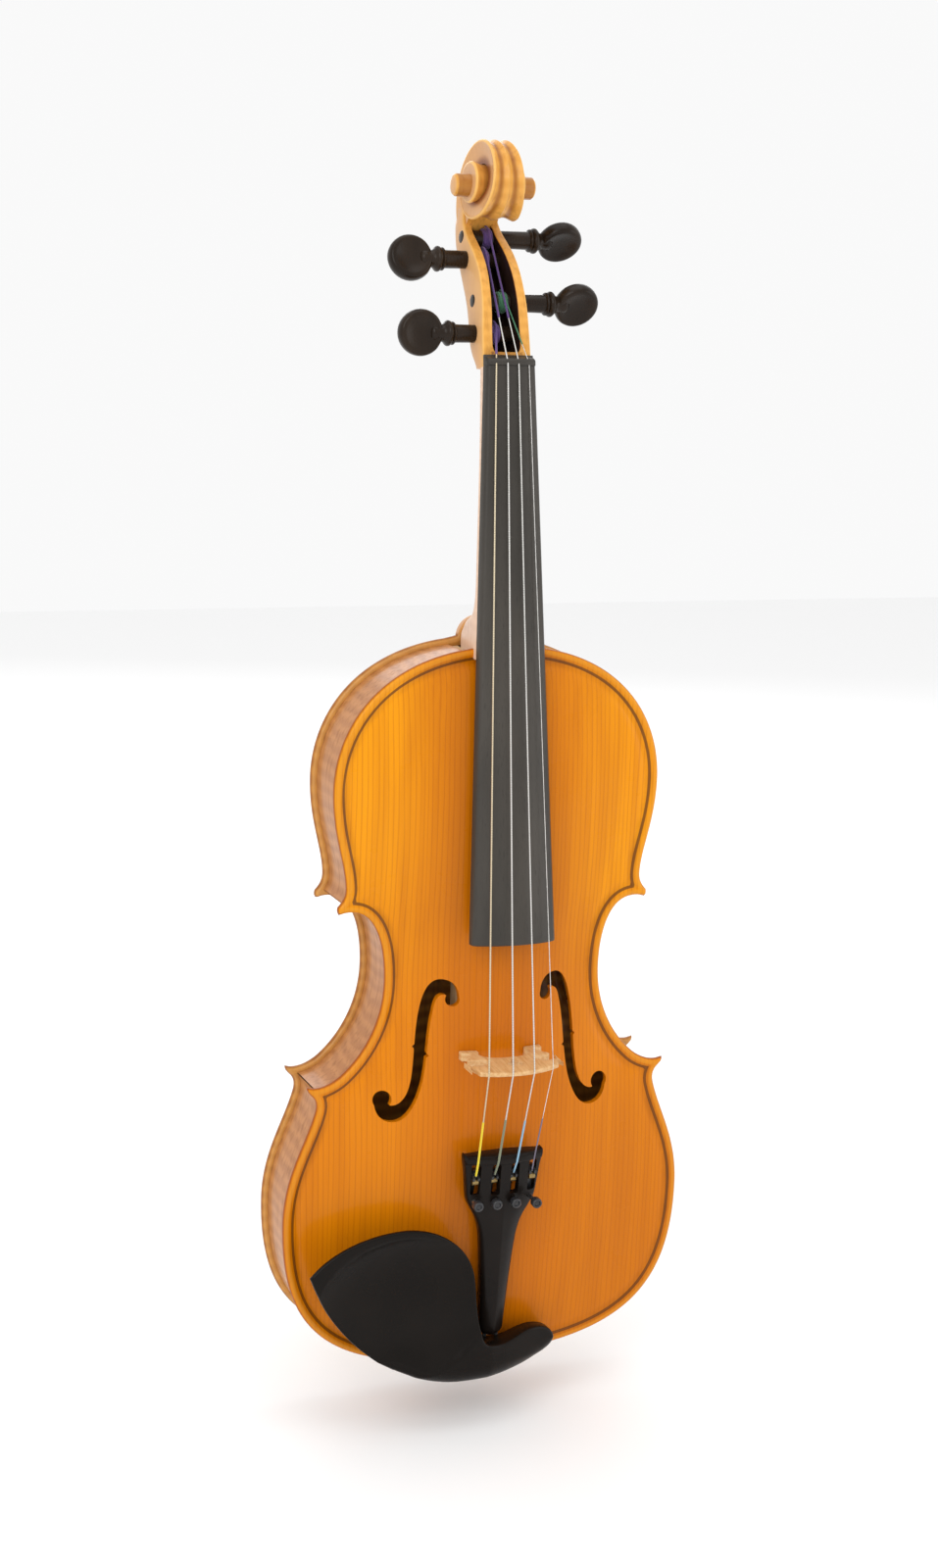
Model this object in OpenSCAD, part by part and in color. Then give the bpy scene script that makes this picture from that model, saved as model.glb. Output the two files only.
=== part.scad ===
// Full-size violin: arched body of two plates on six ribs, mortised neck with a carved scroll,
// ebony fittings, tailpiece with four built-in fine tuners, and a side-mounted chin rest.
//
// Bench frame used by every module: X to the treble side, Y from the tail end to the scroll,
// Z out of the belly, with Z = 0 half way up the ribs. upright() turns it so the scroll is up,
// the belly faces -Y and the origin lies in the middle of the end button's head.

/* [Body] */
// Length of the body on its centre line
body_length = 356; // [354:1:358]
// Widest width of the upper bout
upper_bout = 165.6; // [164:0.2:168]
// Narrowest width of the waist
waist = 111; // [110:0.5:113]
// Widest width of the lower bout
lower_bout = 207; // [206:0.5:209]
// Height of the ribs
rib_height = 31; // [30:0.5:32]
// Thickness of the ribs
rib_thickness = 1.2; // [1:0.1:1.3]
// Thickness of both plates at their edge
edge_thickness = 3.8; // [3.6:0.1:4]
// How far the plates stand out past the ribs
overhang = 2.8; // [2.5:0.1:3]
// Rise of the belly's arch above its edge
belly_rise = 12; // [11:0.5:13]
// Rise of the back's arch above its edge
back_rise = 11.5; // [10.5:0.5:12.5]
// Thickness of the arched part of both plates
plate_thickness = 3; // [2.8:0.1:3.2]

/* [Neck and strings] */
// Neck length, from the body's edge to the nut
neck_length = 129; // [128:0.5:130]
// Height of the neck's gluing face above the belly's edge, at the body
overstand = 4.2; // [3.8:0.2:5]
// Slope of the neck, in degrees
neck_angle = 6.14; // [5.9:0.02:6.3]
// Length of the fingerboard
board_length = 269; // [268:0.5:270]
// Width of the fingerboard at the nut
nut_width = 24; // [23.6:0.1:24.4]
// Width of the fingerboard at its free end
board_width = 42; // [41:0.5:43]
// Distance from the tail end of the body to the bridge
bridge_at = 161; // [160:0.5:162]
// Height of the strings over the belly's edge plane, at the middle of the bridge
bridge_crown = 41.8; // [41:0.2:43]
// Distance between the outer strings on the bridge
bridge_spacing = 33.6; // [33:0.2:34.4]
// Distance between the outer strings on the nut
nut_spacing = 16.2; // [15.8:0.2:16.6]

/* [Fittings] */
// Diameter of the end button's head
button_diameter = 14; // [13:0.5:14.5]
// Diameter of a peg's shaft next to its collar
peg_diameter = 8.4; // [8:0.1:8.6]
// Diameter of a fine tuner's knob
knob_diameter = 5; // [4.6:0.1:5.2]
// Length of the tailpiece
tailpiece_length = 97; // [96:0.5:98]

/* [Hidden] */
$fn = 48;
STRINGS = ["g", "d", "a", "e"];
RIBS = ["upper", "waist", "lower"];
SIDES = ["bass", "treble"];

button_head = 3.4;                     // length of the end button's cylindrical head
button_gap = 2.2;                      // from the body's edge to that head
tail_z = button_gap + button_head / 2; // row height of the body's tail end

rib_top = rib_height / 2;
edge_top = rib_top + edge_thickness;
corner_up = 232;                       // height of the upper corners along the body
corner_low = 146;                      // height of the lower corners
half_upper = upper_bout / 2;
half_lower = lower_bout / 2;
half_waist = waist / 2;

purfling_inset = 4;
purfling_width = 1.3;
purfling_depth = 2;
inlay_clear = 0.02;                    // keeps an inlaid solid free of its groove's walls
lining_width = 2;
lining_height = 7.5;

root_depth = 7;                        // how far the neck's root is let into the body
root_top_half = 15.5;
root_low_half = 10.5;
button_radius = 10.8;                  // the back plate's button under the heel

neck_origin = [0, body_length, edge_top + overstand];
nut_s = neck_length / cos(neck_angle); // the nut's board side, along the neck's plane
nut_length = 5;
board_edge = 5;                        // thickness of the fingerboard's long edges
board_radius = 42;

// ---- Curves ----

function cubic(a, b, c, d, t) =
    pow(1 - t, 3) * a + 3 * t * pow(1 - t, 2) * b + 3 * t * t * (1 - t) * c + t * t * t * d;
// n points along a cubic, without its last one
function stretch(a, b, c, d, n) = [for (i = [0:n - 1]) cubic(a, b, c, d, i / n)];
function flipped(list) = [for (i = [len(list) - 1:-1:0]) list[i]];
function mirrored(points) = [for (p = flipped(points)) [-p[0], p[1]]];
// Value at x of a smooth curve through a short list of [x, value] pairs
function slope_at(t, i) =
    i == 0 || i == len(t) - 1 ? 0 : (t[i + 1][1] - t[i - 1][1]) / (t[i + 1][0] - t[i - 1][0]);
function span_of(t, x, i = 0) = i >= len(t) - 2 || x <= t[i + 1][0] ? i : span_of(t, x, i + 1);
function smooth(t, x) =
    let (i = span_of(t, x), w = t[i + 1][0] - t[i][0], u = min(1, max(0, (x - t[i][0]) / w)))
    t[i][1] * (1 + 2 * u) * pow(1 - u, 2) + slope_at(t, i) * w * u * pow(1 - u, 2)
    + t[i + 1][1] * u * u * (3 - 2 * u) - slope_at(t, i + 1) * w * u * u * (1 - u);

// One side of the body's outline, from the tail end up to the neck
half_outline = concat(
    stretch([0, 0], [78, 0], [half_lower, 24], [half_lower, 80], 14),
    stretch([half_lower, 80], [half_lower, 104], [92.5, 119], [88.3, 135], 8),
    stretch([88.3, 135], [87.2, 139], [88.6, 142.5], [91.8, 144], 4),
    stretch([92.8, 147.6], [88, 145.2], [80, 147.8], [74.6, 153], 4),
    stretch([74.6, 153], [64, 162.5], [half_waist, 178], [half_waist, 197], 8),
    stretch([half_waist, 197], [half_waist, 214], [60, 229.5], [70.8, 231.2], 8),
    stretch([70.8, 231.2], [73.5, 231.8], [76.5, 231.5], [78.8, 230.4], 3),
    [[78.8, 230.4]],
    stretch([79.6, 234], [77, 236.5], [75.6, 239], [75.6, 242], 4),
    stretch([75.6, 242], [75.6, 254], [half_upper, 268], [half_upper, 289], 7),
    stretch([half_upper, 289], [half_upper, 322], [58, body_length], [0, body_length], 14),
    [[0, body_length]]);
outline = concat(half_outline, [for (p = mirrored(half_outline)) if (p[0] < -0.01) p]);

// Half width of the arched area at a height along the body, and how much of the rise it has there
arch_half = [[7, 4], [12, 42], [22, 68], [42, 86.5], [78, 95], [110, 89.5], [135, 78], [160, 61],
             [195, 48], [218, 50.5], [240, 61], [262, 69], [290, 74.5], [318, 66.5], [338, 46],
             [346, 26], [349, 4]];
arch_start = arch_half[0][0];
arch_end = arch_half[len(arch_half) - 1][0];
function arch_share(y) =
    pow(sin(180 * min(0.995, max(0.005, (y - arch_start) / (arch_end - arch_start)))), 0.55);
function arch_profile(u) = pow(max(0, cos(90 * min(1, abs(u)))), 1.4);
// Height of an arch over the edge plane at a point of the plate
function arch_at(x, y, rise, inset = 0) =
    rise * arch_share(y) * arch_profile(x / (smooth(arch_half, y) - inset));

// ---- Solids from curves ----

// A closed solid through rings of points. Each ring turns by the right hand about the way the rings run.
module loft(rings) {
    n = len(rings[0]);
    m = len(rings);
    polyhedron(
        points = [for (r = rings, p = r) p],
        faces = concat(
            [[for (i = [0:n - 1]) i]],
            [[for (i = [n - 1:-1:0]) (m - 1) * n + i]],
            [for (k = [0:m - 2], i = [0:n - 1], half = [0, 1])
                let (a = k * n + i, b = k * n + (i + 1) % n, c = b + n, d = a + n)
                half == 0 ? [a, d, c] : [a, c, b]]));
}
function unit(v) = v / norm(v);
// Rings of a round tube along a path, each square to the path
function tube_rings(path, r, sides = 8) =
    [for (i = [0:len(path) - 1])
        let (t = unit(path[min(i + 1, len(path) - 1)] - path[max(i - 1, 0)]),
             u = unit(cross(abs(t[0]) > 0.9 ? [0, 0, 1] : [1, 0, 0], t)),
             v = cross(t, u))
        [for (k = [0:sides - 1]) let (q = 360 * k / sides) path[i] + r * (cos(q) * u + sin(q) * v)]];
module tube(path, r, sides = 8) { loft(tube_rings(path, r, sides)); }
// Free-form solids are taken whole from the mesh kernel; this changes no size
module carved() { resize([0, 0, 0]) children(); }

module upright() { translate([0, 0, tail_z]) rotate([90, 0, 0]) children(); }
module in_neck_frame() { translate(neck_origin) rotate([-neck_angle, 0, 0]) children(); }
function from_neck(p) =
    neck_origin + [p[0], p[1] * cos(neck_angle) + p[2] * sin(neck_angle),
                   -p[1] * sin(neck_angle) + p[2] * cos(neck_angle)];

module body_shape(inset) {
    if (inset == 0) polygon(outline);
    else offset(delta = -inset) polygon(outline);
}

// ---- Body ----

module dome(rise, inset, base, steps = 34, across = 16) {
    ys = [for (j = [0:steps]) arch_start + (arch_end - arch_start) * (1 - cos(180 * j / steps)) / 2];
    loft([for (y = ys)
        let (w = smooth(arch_half, y) - inset)
        concat([for (i = [0:across]) let (u = 2 * i / across - 1)
                [u * w, y, rise * arch_share(y) * arch_profile(u)]],
               [[w, y, -base], [-w, y, -base]])]);
}
module hollow(rise) {
    inner = rise + edge_thickness - plate_thickness;
    steps = 30;
    across = 14;
    margin = 9;
    floor_inset = 5;
    ys = [for (j = [0:steps]) let (a = arch_start + margin, b = arch_end - margin)
          a + (b - a) * (1 - cos(180 * j / steps)) / 2];
    loft([for (y = ys)
        let (w = smooth(arch_half, y) - floor_inset)
        concat([for (i = [0:across]) let (u = 2 * i / across - 1)
                [u * w, y, inner * arch_share(y) * arch_profile(u)]],
               [[w, y, -1], [-w, y, -1]])]);
}
module neck_cut(clear) {
    translate([0, body_length + 20, 0]) rotate([90, 0, 0])
        linear_extrude(20 + root_depth + clear)
            polygon([[-root_top_half - clear, edge_top + 5], [root_top_half + clear, edge_top + 5],
                     [root_low_half + clear, -rib_top], [-root_low_half - clear, -rib_top]]);
}

// One f-hole on the treble side: a slanted stem between two round eyes
eye_up = [24, 188];
eye_low = [56.5, 139.5];
eye_up_r = 3.3;
eye_low_r = 4.5;
module f_hole_shape() {
    translate(eye_up) circle(eye_up_r, $fn = 20);
    translate(eye_low) circle(eye_low_r, $fn = 24);
    polygon(concat(
        stretch([21, 189.5], [22.5, 197], [31.5, 200.5], [36.6, 189], 7),
        stretch([36.6, 189], [41, 178], [40, 165], [42.6, 152], 6),
        stretch([42.6, 152], [44.4, 142], [48, 133.5], [53, 135.2], 5),
        [[53, 135.2], [58.6, 135.6]],
        stretch([60.6, 138], [59, 129], [50, 123.5], [43.6, 132], 6),
        stretch([43.6, 132], [36.5, 141], [38, 158], [34.2, 171], 6),
        stretch([34.2, 171], [31.5, 183], [32, 192.5], [26.4, 191.2], 5),
        [[26.4, 191.2], [22.4, 191]]));
    nick = 1.6;
    for (p = [[42, 165.2], [35.9, 160.6]]) translate(p) rotate(45) square(nick, center = true);
}
module f_holes() {
    for (side = [0, 1]) mirror([side, 0, 0])
        translate([0, 0, -2]) linear_extrude(30) f_hole_shape();
}
module purfling_ring(depth, clear) {
    linear_extrude(depth) difference() {
        body_shape(purfling_inset - clear);
        body_shape(purfling_inset + purfling_width + clear);
    }
}

module top_plate() color("darkorange") {
    carved() translate([0, 0, rib_top]) difference() {
        union() {
            linear_extrude(edge_thickness) body_shape(0);
            translate([0, 0, edge_thickness]) dome(belly_rise, 0, 1);
        }
        hollow(belly_rise);
        f_holes();
        translate([0, 0, edge_thickness - purfling_depth]) purfling_ring(purfling_depth + 1, 0);
        translate([0, 0, -rib_top]) neck_cut(0.05);
        translate([-saddle_half - 0.05, -1, -1]) cube([2 * saddle_half + 0.1, saddle_depth + 1.05, 8]);
    }
}
module back_plate() color("peru") {
    carved() rotate([0, 180, 0]) translate([0, 0, rib_top]) difference() {
        union() {
            linear_extrude(edge_thickness) union() {
                body_shape(0);
                translate([0, body_length - 0.5]) circle(button_radius);
            }
            translate([0, 0, edge_thickness]) dome(back_rise, 0, 1);
        }
        hollow(back_rise);
        translate([0, 0, edge_thickness - purfling_depth]) purfling_ring(purfling_depth + 1, 0);
    }
}
module purfling() color("black") {
    translate([0, 0, edge_top - purfling_depth + inlay_clear])
        difference() {
            purfling_ring(purfling_depth - inlay_clear, -inlay_clear);
            cube_over_neck = root_top_half + 0.6;
            translate([-cube_over_neck, body_length - 12, -1]) cube([2 * cube_over_neck, 20, 5]);
            translate([-saddle_half - 0.3, -1, -1]) cube([2 * saddle_half + 0.6, saddle_depth + 1.3, 5]);
        }
    translate([0, 0, -edge_top]) purfling_ring(purfling_depth - inlay_clear, -inlay_clear);
}

// Areas that part one rib from the next, cut at the corners and on the centre line
module rib_area(part) {
    cut_up = corner_up - 0.5;
    cut_low = corner_low + 0.3;
    if (part == "upper") polygon([[0, 250], [60, 250], [79.5, cut_up], [120, cut_up], [120, 400], [0, 400]]);
    if (part == "waist") polygon([[30, 126], [72, 126], [93.6, cut_low], [120, cut_low], [120, cut_up],
                                  [79.5, cut_up], [60, 250], [30, 250]]);
    if (part == "lower")
        polygon([[0, -20], [120, -20], [120, cut_low], [93.6, cut_low], [72, 126], [0, 126]]);
}
module rib_strip(part, from, to) {
    intersection() {
        difference() {
            body_shape(from);
            body_shape(to);
        }
        rib_area(part);
    }
}
module rib(part, side) color("sandybrown") {
    mirror([side == "bass" ? 1 : 0, 0, 0]) difference() {
        translate([0, 0, -rib_top]) linear_extrude(rib_height)
            rib_strip(part, overhang, overhang + rib_thickness);
        if (part == "upper") neck_cut(0.05);
        if (part == "lower") button_bore(0.02);
    }
}
inner_inset = overhang + rib_thickness;
module block_shape(name) {
    if (name == "neck") translate([-24, body_length - inner_inset - 17]) square([48, 40]);
    if (name == "end") translate([-22, -20]) square([44, 20 + inner_inset + 14]);
    if (name == "upper") polygon([[50, 214], [90, 214], [90, 262], [71, 262]]);
    if (name == "lower") polygon([[54, 170], [104, 170], [104, 112], [85, 112]]);
}
module block(name) {
    translate([0, 0, -rib_top]) linear_extrude(rib_height) intersection() {
        body_shape(inner_inset);
        block_shape(name);
    }
}
module neck_block() color("wheat") {
    difference() {
        block("neck");
        neck_cut(0.05);
    }
}
module end_block() color("wheat") {
    difference() {
        block("end");
        button_bore(0.02);
    }
}
module corner_blocks() color("wheat") {
    for (side = [0, 1], name = ["upper", "lower"]) mirror([side, 0, 0]) block(name);
}
module linings() color("wheat") {
    for (level = [-rib_top, rib_top - lining_height], side = [0, 1], part = RIBS)
        mirror([side, 0, 0]) translate([0, 0, level]) linear_extrude(lining_height) difference() {
            rib_strip(part, inner_inset, inner_inset + lining_width);
            for (name = ["neck", "end", "upper", "lower"]) offset(delta = 0.02) block_shape(name);
        }
}
bar_at = -17;
bar_width = 5.5;
bar_half_length = 132;
bar_middle = 182;
// Height of a plate's inner face over the ribs' edge
function inside(x, y, rise) =
    (rise + edge_thickness - plate_thickness) * arch_share(y) * arch_profile(x / (smooth(arch_half, y) - 5));
function bar_top(y) = rib_top + inside(abs(bar_at) + bar_width / 2, y, belly_rise) - 0.15;
function bar_depth(y) = 3 + 8 * pow(cos(90 * (y - bar_middle) / (bar_half_length + 1)), 2);
module bass_bar() color("wheat") {
    steps = 16;
    ys = [for (i = [0:steps]) bar_middle - bar_half_length + 2 * bar_half_length * i / steps];
    translate([bar_at - bar_width / 2, 0, 0]) rotate([90, 0, 90]) linear_extrude(bar_width)
        polygon(concat([for (y = ys) [y, bar_top(y)]],
                       [for (y = flipped(ys)) [y, bar_top(y) - bar_depth(y)]]));
}
post_at = [19, bridge_at - 7];
post_radius = 3.1;
module soundpost() color("wheat") {
    far = post_at[0] + post_radius;
    near_end = post_at[1] - post_radius;
    low = -rib_top - inside(far, near_end, back_rise) + 0.1;
    high = rib_top + inside(far, near_end, belly_rise) - 0.1;
    translate([post_at[0], post_at[1], low]) cylinder(h = high - low, r = post_radius);
}
saddle_half = 17;
saddle_depth = 6;
saddle_height = 9;
module saddle() color("black") {
    rise = saddle_height - edge_thickness;
    translate([-saddle_half, 0, rib_top]) rotate([90, 0, 90]) linear_extrude(2 * saddle_half)
        polygon([[0.2, 0], [saddle_depth, 0], [saddle_depth, edge_thickness + 1.4],
                 [3.4, edge_thickness + rise], [1.4, edge_thickness + rise],
                 [0.2, edge_thickness + rise - 1.5]]);
}
button_neck = 3.9;
module button_bore(clear) {
    translate([0, 30, 0]) rotate([90, 0, 0]) cylinder(h = 40, r1 = 3 + clear, r2 = 3.7 + clear);
}
module end_button() color("black") {
    head = button_diameter / 2;
    seat = overhang - 0.02;
    rotate([90, 0, 0]) rotate_extrude() polygon([
        [0, -18], [3.2, -18], [3.45, -seat], [button_neck + 0.8, -seat], [button_neck, -seat + 0.8],
        [button_neck, button_gap - 0.3], [head - 0.4, button_gap], [head, button_gap],
        [head, button_gap + button_head], [head - 1.2, button_gap + button_head + 0.7],
        [2, button_gap + button_head + 1], [0, button_gap + button_head + 1]]);
}

// ---- Neck ----

sin_neck = sin(neck_angle);
cos_neck = cos(neck_angle);
// Height of the gluing face above mid-rib at a distance up the body's axis
function glue_plane(y) = edge_top + overstand - (y - body_length) * tan(neck_angle);

shaft_bottom = [[body_length, -rib_top], [361, -rib_top], [364, -14.8], [366, -11.5], [367.8, -6], [370, -1],
                [374, 3.2], [379, 5.6], [386, 6.4], [430, 2.9], [484, -2.2]];
shaft_half = [[body_length, 16.4], [370, 15.6], [386, 14.9], [484, 12.1]];
module neck_shaft() {
    steps = 12;
    ys = concat([for (y = [body_length - 0.3:1.6:390]) y], [410, 435, 460, 484]);
    loft([for (y = ys)
        let (top = glue_plane(y) + 2, low = smooth(shaft_bottom, y), w = smooth(shaft_half, y),
             button = sqrt(max(0.5, pow(button_radius - 0.2, 2) - pow(y - body_length + 0.5, 2))),
             heel = min(1, max(0, (368 - y) / 8)), low_half = heel * button / w + (1 - heel) * 0.98,
             power = 1 - 0.45 * heel)
        concat([[-w, y, top], [w, y, top]],
            [for (i = [0:steps])
                let (a = 180 * i / steps, c = cos(a), z = pow(sin(a), power), side = c < 0 ? -1 : 1)
                [side * pow(abs(c), power) * w * (1 + (low_half - 1) * z), y,
                 top - 4 - (top - 4 - low) * z]])]);
}
module neck_root() {
    translate([0, body_length, 0]) rotate([90, 0, 0]) linear_extrude(root_depth)
        polygon([[-root_top_half, edge_top + 5], [root_top_half, edge_top + 5],
                 [root_low_half, -rib_top + 0.02], [-root_low_half, -rib_top + 0.02]]);
}

// The head is drawn in the neck's frame, as [along the neck, over the gluing face]
eye_centre = [213.4, -16.5];
box_front = [[129, 0], [134.7, -0.2], [145, -1.2], [158, -2.6], [169.5, -6.4], [177, -10.8], [183.7, -16.7],
             [189, -22.9], [194, -28.6], [199, -32], [206, -34]];
box_back = [[129, -12.6], [132, -14.5], [135, -17.3], [140, -20.4], [145, -21.8], [152, -23.8], [160, -27],
            [171.7, -34], [184.3, -41], [198.5, -45.8], [206, -44.8]];
box_half = [[129, 12.1], [134, 12.1], [145, 11.9], [158, 11.3], [170, 10.7], [184, 10.3], [190, 10],
            [198, 9.2], [206, 8.2]];
cavity_half = [[136, 6.8], [150, 6.6], [165, 6.2], [180, 5.6], [197.6, 5.2]];
cavity_floor = 4;                      // wood left under the cavity
module pegbox() {
    stations = [129, 131, 133, 135, 137.5, 140, 145, 150, 158, 164, 170, 174, 178, 182, 186, 190,
                194, 198, 206];
    loft([for (s = stations)
        let (w = smooth(box_half, s), f = smooth(box_front, s), b = smooth(box_back, s))
        [[-w + 0.8, s, f], [w - 0.8, s, f], [w, s, f - 0.8], [w, s, b + 5], [w - 1.2, s, b + 1.4],
         [w - 4, s, b], [-w + 4, s, b], [-w + 1.2, s, b + 1.4], [-w, s, b + 5], [-w, s, f - 0.8]]]);
}
module pegbox_cavity() {
    loft([for (s = [136.3, 142, 150, 160, 170, 180, 187, 192, 197.6])
        let (w = smooth(cavity_half, s), b = smooth(box_back, s) + cavity_floor)
        [[-w, s, 4], [w, s, 4], [w, s, b], [-w, s, b]]]);
}
function scroll_radius(turn) = 25.2 * exp(-0.0018 * turn);
scroll_deep = 1.12;                    // the spiral is deeper than it is long
scroll_half = [[-50, 9], [0, 7.6], [80, 6.2], [180, 7.8], [230, 9.6], [270, 11], [360, 11.2], [450, 11.8],
               [540, 12.4], [630, 12.8], [720, 13.2]];
scroll_end = 720;
module scroll() {
    loft([for (q = [-50:10:scroll_end])
        let (r = scroll_radius(q), w = smooth(scroll_half, q),
             r_in = q > 360 ? 0.5 : scroll_radius(q + 360) - 1)
        [for (p = [[-w, r_in], [w, r_in], [w, r - 0.8], [w - 0.8, r], [-w + 0.8, r], [-w, r - 0.8]])
            [p[0], eye_centre[0] + p[1] * sin(q), eye_centre[1] - scroll_deep * p[1] * cos(q)]]]);
    eye_half = 20.2;
    translate([-eye_half, eye_centre[0], eye_centre[1]]) rotate([0, 90, 0])
        cylinder(h = 2 * eye_half, r = 5.2, $fn = 32);
}

// Pegs: [side of the head, place along the neck, height over the gluing face, turn of the head,
// distance of the tip from the middle of the pegbox]
PEGS = [[-1, 145.2, -11.8, -8, 11.5], [-1, 180.6, -26, 12, 12], [1, 191.4, -32.5, 50, 9.6],
        [1, 160.2, -15.3, 40, 8.7]];
shaft_long = 33.4;                     // tapered length of the peg
collar_r = 6;
head_r = 10.8;
head_at = 49.6;                        // from the tip to the middle of the head
function peg_r(u) = peg_diameter / 2 + 0.08 - (shaft_long - u) / 60;
// Puts a piece that stands on +Z, from the peg's tip, on the axis of peg i
module on_peg(i) {
    in_neck_frame() translate([-PEGS[i][0] * PEGS[i][4], PEGS[i][1], PEGS[i][2]])
        rotate([0, PEGS[i][0] * 90, 0]) children();
}
module peg_cone(clear, more) {
    translate([0, 0, -more])
        cylinder(h = shaft_long + more, r1 = peg_r(-more) + clear, r2 = peg_r(shaft_long) + clear);
}
module neck() color("sandybrown") {
    difference() {
        carved() difference() {
            union() {
                neck_root();
                difference() {
                    union() {
                        neck_shaft();
                        in_neck_frame() pegbox();
                    }
                    in_neck_frame() translate([-30, -20, 0]) cube([60, 180, 20]);
                }
                in_neck_frame() scroll();
            }
            in_neck_frame() translate([-30, -20, 0]) cube([60, 30, 20]);
            in_neck_frame() pegbox_cavity();
        }
        for (i = [0:3]) on_peg(i) peg_cone(0.05, 4);
    }
}
function board_half(s) = nut_width / 2 + (board_width - nut_width) / 2 * (nut_s - s) / board_length;
function arc_rise(half, x) = sqrt(pow(board_radius, 2) - x * x) - sqrt(pow(board_radius, 2) - half * half);
function board_top(s, x) = board_edge + arc_rise(board_half(s), x);
board_scoop = 4;
module fingerboard() color("dimgray") {
    glue = 0.02;
    across = 16;
    // each station is [place along the neck, depth of the scoop as a share]
    stations = [[nut_s - board_length, 1], [-70, 0.8], [-9, 0.4], [-8, 0], [60, 0], [nut_s, 0]];
    carved() in_neck_frame() loft([for (p = stations)
        let (s = p[0], w = board_half(s), n = [for (i = [0:across]) 2 * i / across - 1])
        concat([for (u = n) [u * w, s, board_top(s, u * w)]],
               [for (u = flipped(n)) let (hollow = board_scoop * p[1] * max(0, 1 - pow(u * 1.15, 2)))
                   [u * w, s, glue + hollow]])]);
}

module peg(i) color("black") {
    on_peg(i) {
        rotate_extrude() polygon([
            [0, 0], [peg_r(0) - 0.4, 0], [peg_r(0.6), 0.6], [peg_r(shaft_long), shaft_long],
            [5.2, shaft_long + 0.3],
            [5.4, shaft_long + 1.2], [4.7, shaft_long + 1.6], [collar_r, shaft_long + 2.6],
            [collar_r, shaft_long + 4], [4.4, shaft_long + 5.4], [4, shaft_long + 8], [0, shaft_long + 8]]);
        translate([0, 0, head_at]) rotate([0, 0, PEGS[i][3] - PEGS[i][0] * 90]) rotate([90, 0, 0])
            rotate_extrude() polygon([
            [0, -2.8], [4, -3.3], [7.5, -4.6], [9.2, -4.6], [10.4, -3.2], [head_r, -1],
            [head_r, 1], [10.4, 3.2], [9.2, 4.6], [7.5, 4.6], [4, 3.3], [0, 2.8]]);
    }
}
module string_winding(i) color("mediumpurple") {
    middle = PEGS[i][4] + winding_at[i];
    on_peg(i) translate([0, 0, middle - winding_long / 2]) difference() {
        cylinder(h = winding_long, r = winding_r);
        translate([0, 0, -middle + winding_long / 2]) peg_cone(0.02, 0);
    }
}

// ---- Strings ----

string_r = [0.4, 0.4, 0.35, 0.2];
rank = [-1.5, -0.5, 0.5, 1.5];
string_over_board = 0.55;
crown_shift = 2.7;                     // the crown's centre of curvature leans to the bass side
crown_radius = 42;
function crown(x) = bridge_crown - sqrt(pow(crown_radius, 2) - crown_shift * crown_shift)
                    + sqrt(pow(crown_radius, 2) - pow(x + crown_shift, 2));
bridge_lean = -1.1;                    // the crown's middle, from the middle of the feet
function on_bridge(i) =
    let (x = bridge_spacing / 3 * rank[i]) [x, bridge_at + bridge_lean, edge_top + crown(x)];
nut_crest = nut_s + 1.2;
function over_nut(i) =
    let (x = nut_spacing / 3 * rank[i]) [x, nut_crest, board_top(nut_s, x) + string_over_board];
winding_r = 5.3;
winding_long = 4.6;
winding_at = [2.7, 2.1, 2.1, 2.7];     // middle of each winding, from the middle of the pegbox
// Where a string touches its winding, seen from the nut's crest
function touch(p, c, r) =
    let (d = p - c, a = atan2(d[1], d[0]) - acos(r / norm(d))) c + r * [cos(a), sin(a)];
function at_peg(i) =
    let (n = over_nut(i), t = touch([n[1], n[2]], [PEGS[i][1], PEGS[i][2]], winding_r + string_r[i] + 0.3))
    [PEGS[i][0] * winding_at[i], t[0], t[1]];
module rod(a, b, r) {
    d = b - a;
    translate(a) rotate([0, acos(d[2] / norm(d)), atan2(d[1], d[0])]) cylinder(h = norm(d), r = r, $fn = 16);
}
tail_start = 18;                       // the tailpiece's lower end, along the body
tail_lift = 8.2;                       // its underside above the belly's edge there
tail_pitch = 5;
module in_tail_frame() {
    translate([0, tail_start, edge_top + tail_lift]) rotate([tail_pitch, 0, 0]) children();
}
function from_tail(p) =
    [p[0], tail_start + p[1] * cos(tail_pitch) - p[2] * sin(tail_pitch),
     edge_top + tail_lift + p[1] * sin(tail_pitch) + p[2] * cos(tail_pitch)];
tail_half = [[0, 4.6], [2, 5.7], [12, 6.3], [30, 7.3], [50, 8.9], [57, 10], [63, 12], [68, 14.8], [73, 17.2],
             [80, 18.3], [88, 19.2], [tailpiece_length, 20.5]];
tail_crown = [[0, 6.5], [3, 8], [50, 8.6], [tailpiece_length, 8.8]];
tail_edge = [[0, 3.5], [4, 4.6], [tailpiece_length, 4.8]];
fret_at = 94.2;
fret_rise = 1;
function tail_top(s, x) =
    smooth(tail_edge, s)
    + (smooth(tail_crown, s) - smooth(tail_edge, s)) * (1 - pow(x / smooth(tail_half, s), 2));
tuner_spacing = 9.7;
function tuner_x(i) = tuner_spacing * rank[i];
pivot = [86.5, 1.9];                   // the levers' pin, along the tailpiece and over its underside
screw_at = 73.2;
hook_high = 6.2;                       // height of the ball ends
hook_at = 86.3;                        // where the strings start
function on_fret(i) =
    let (x = tuner_x(i)) [x, fret_at, tail_top(fret_at, x) + fret_rise + string_r[i] - 0.15];
function in_hook(i) = [tuner_x(i), hook_at, hook_high];
function string_path(i) =
    [from_tail(in_hook(i)), from_tail(on_fret(i)), on_bridge(i),
     from_neck(over_nut(i)), from_neck(at_peg(i))];
module string_run(i) color("silver") { tube(string_path(i), string_r[i], 8); }
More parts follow.
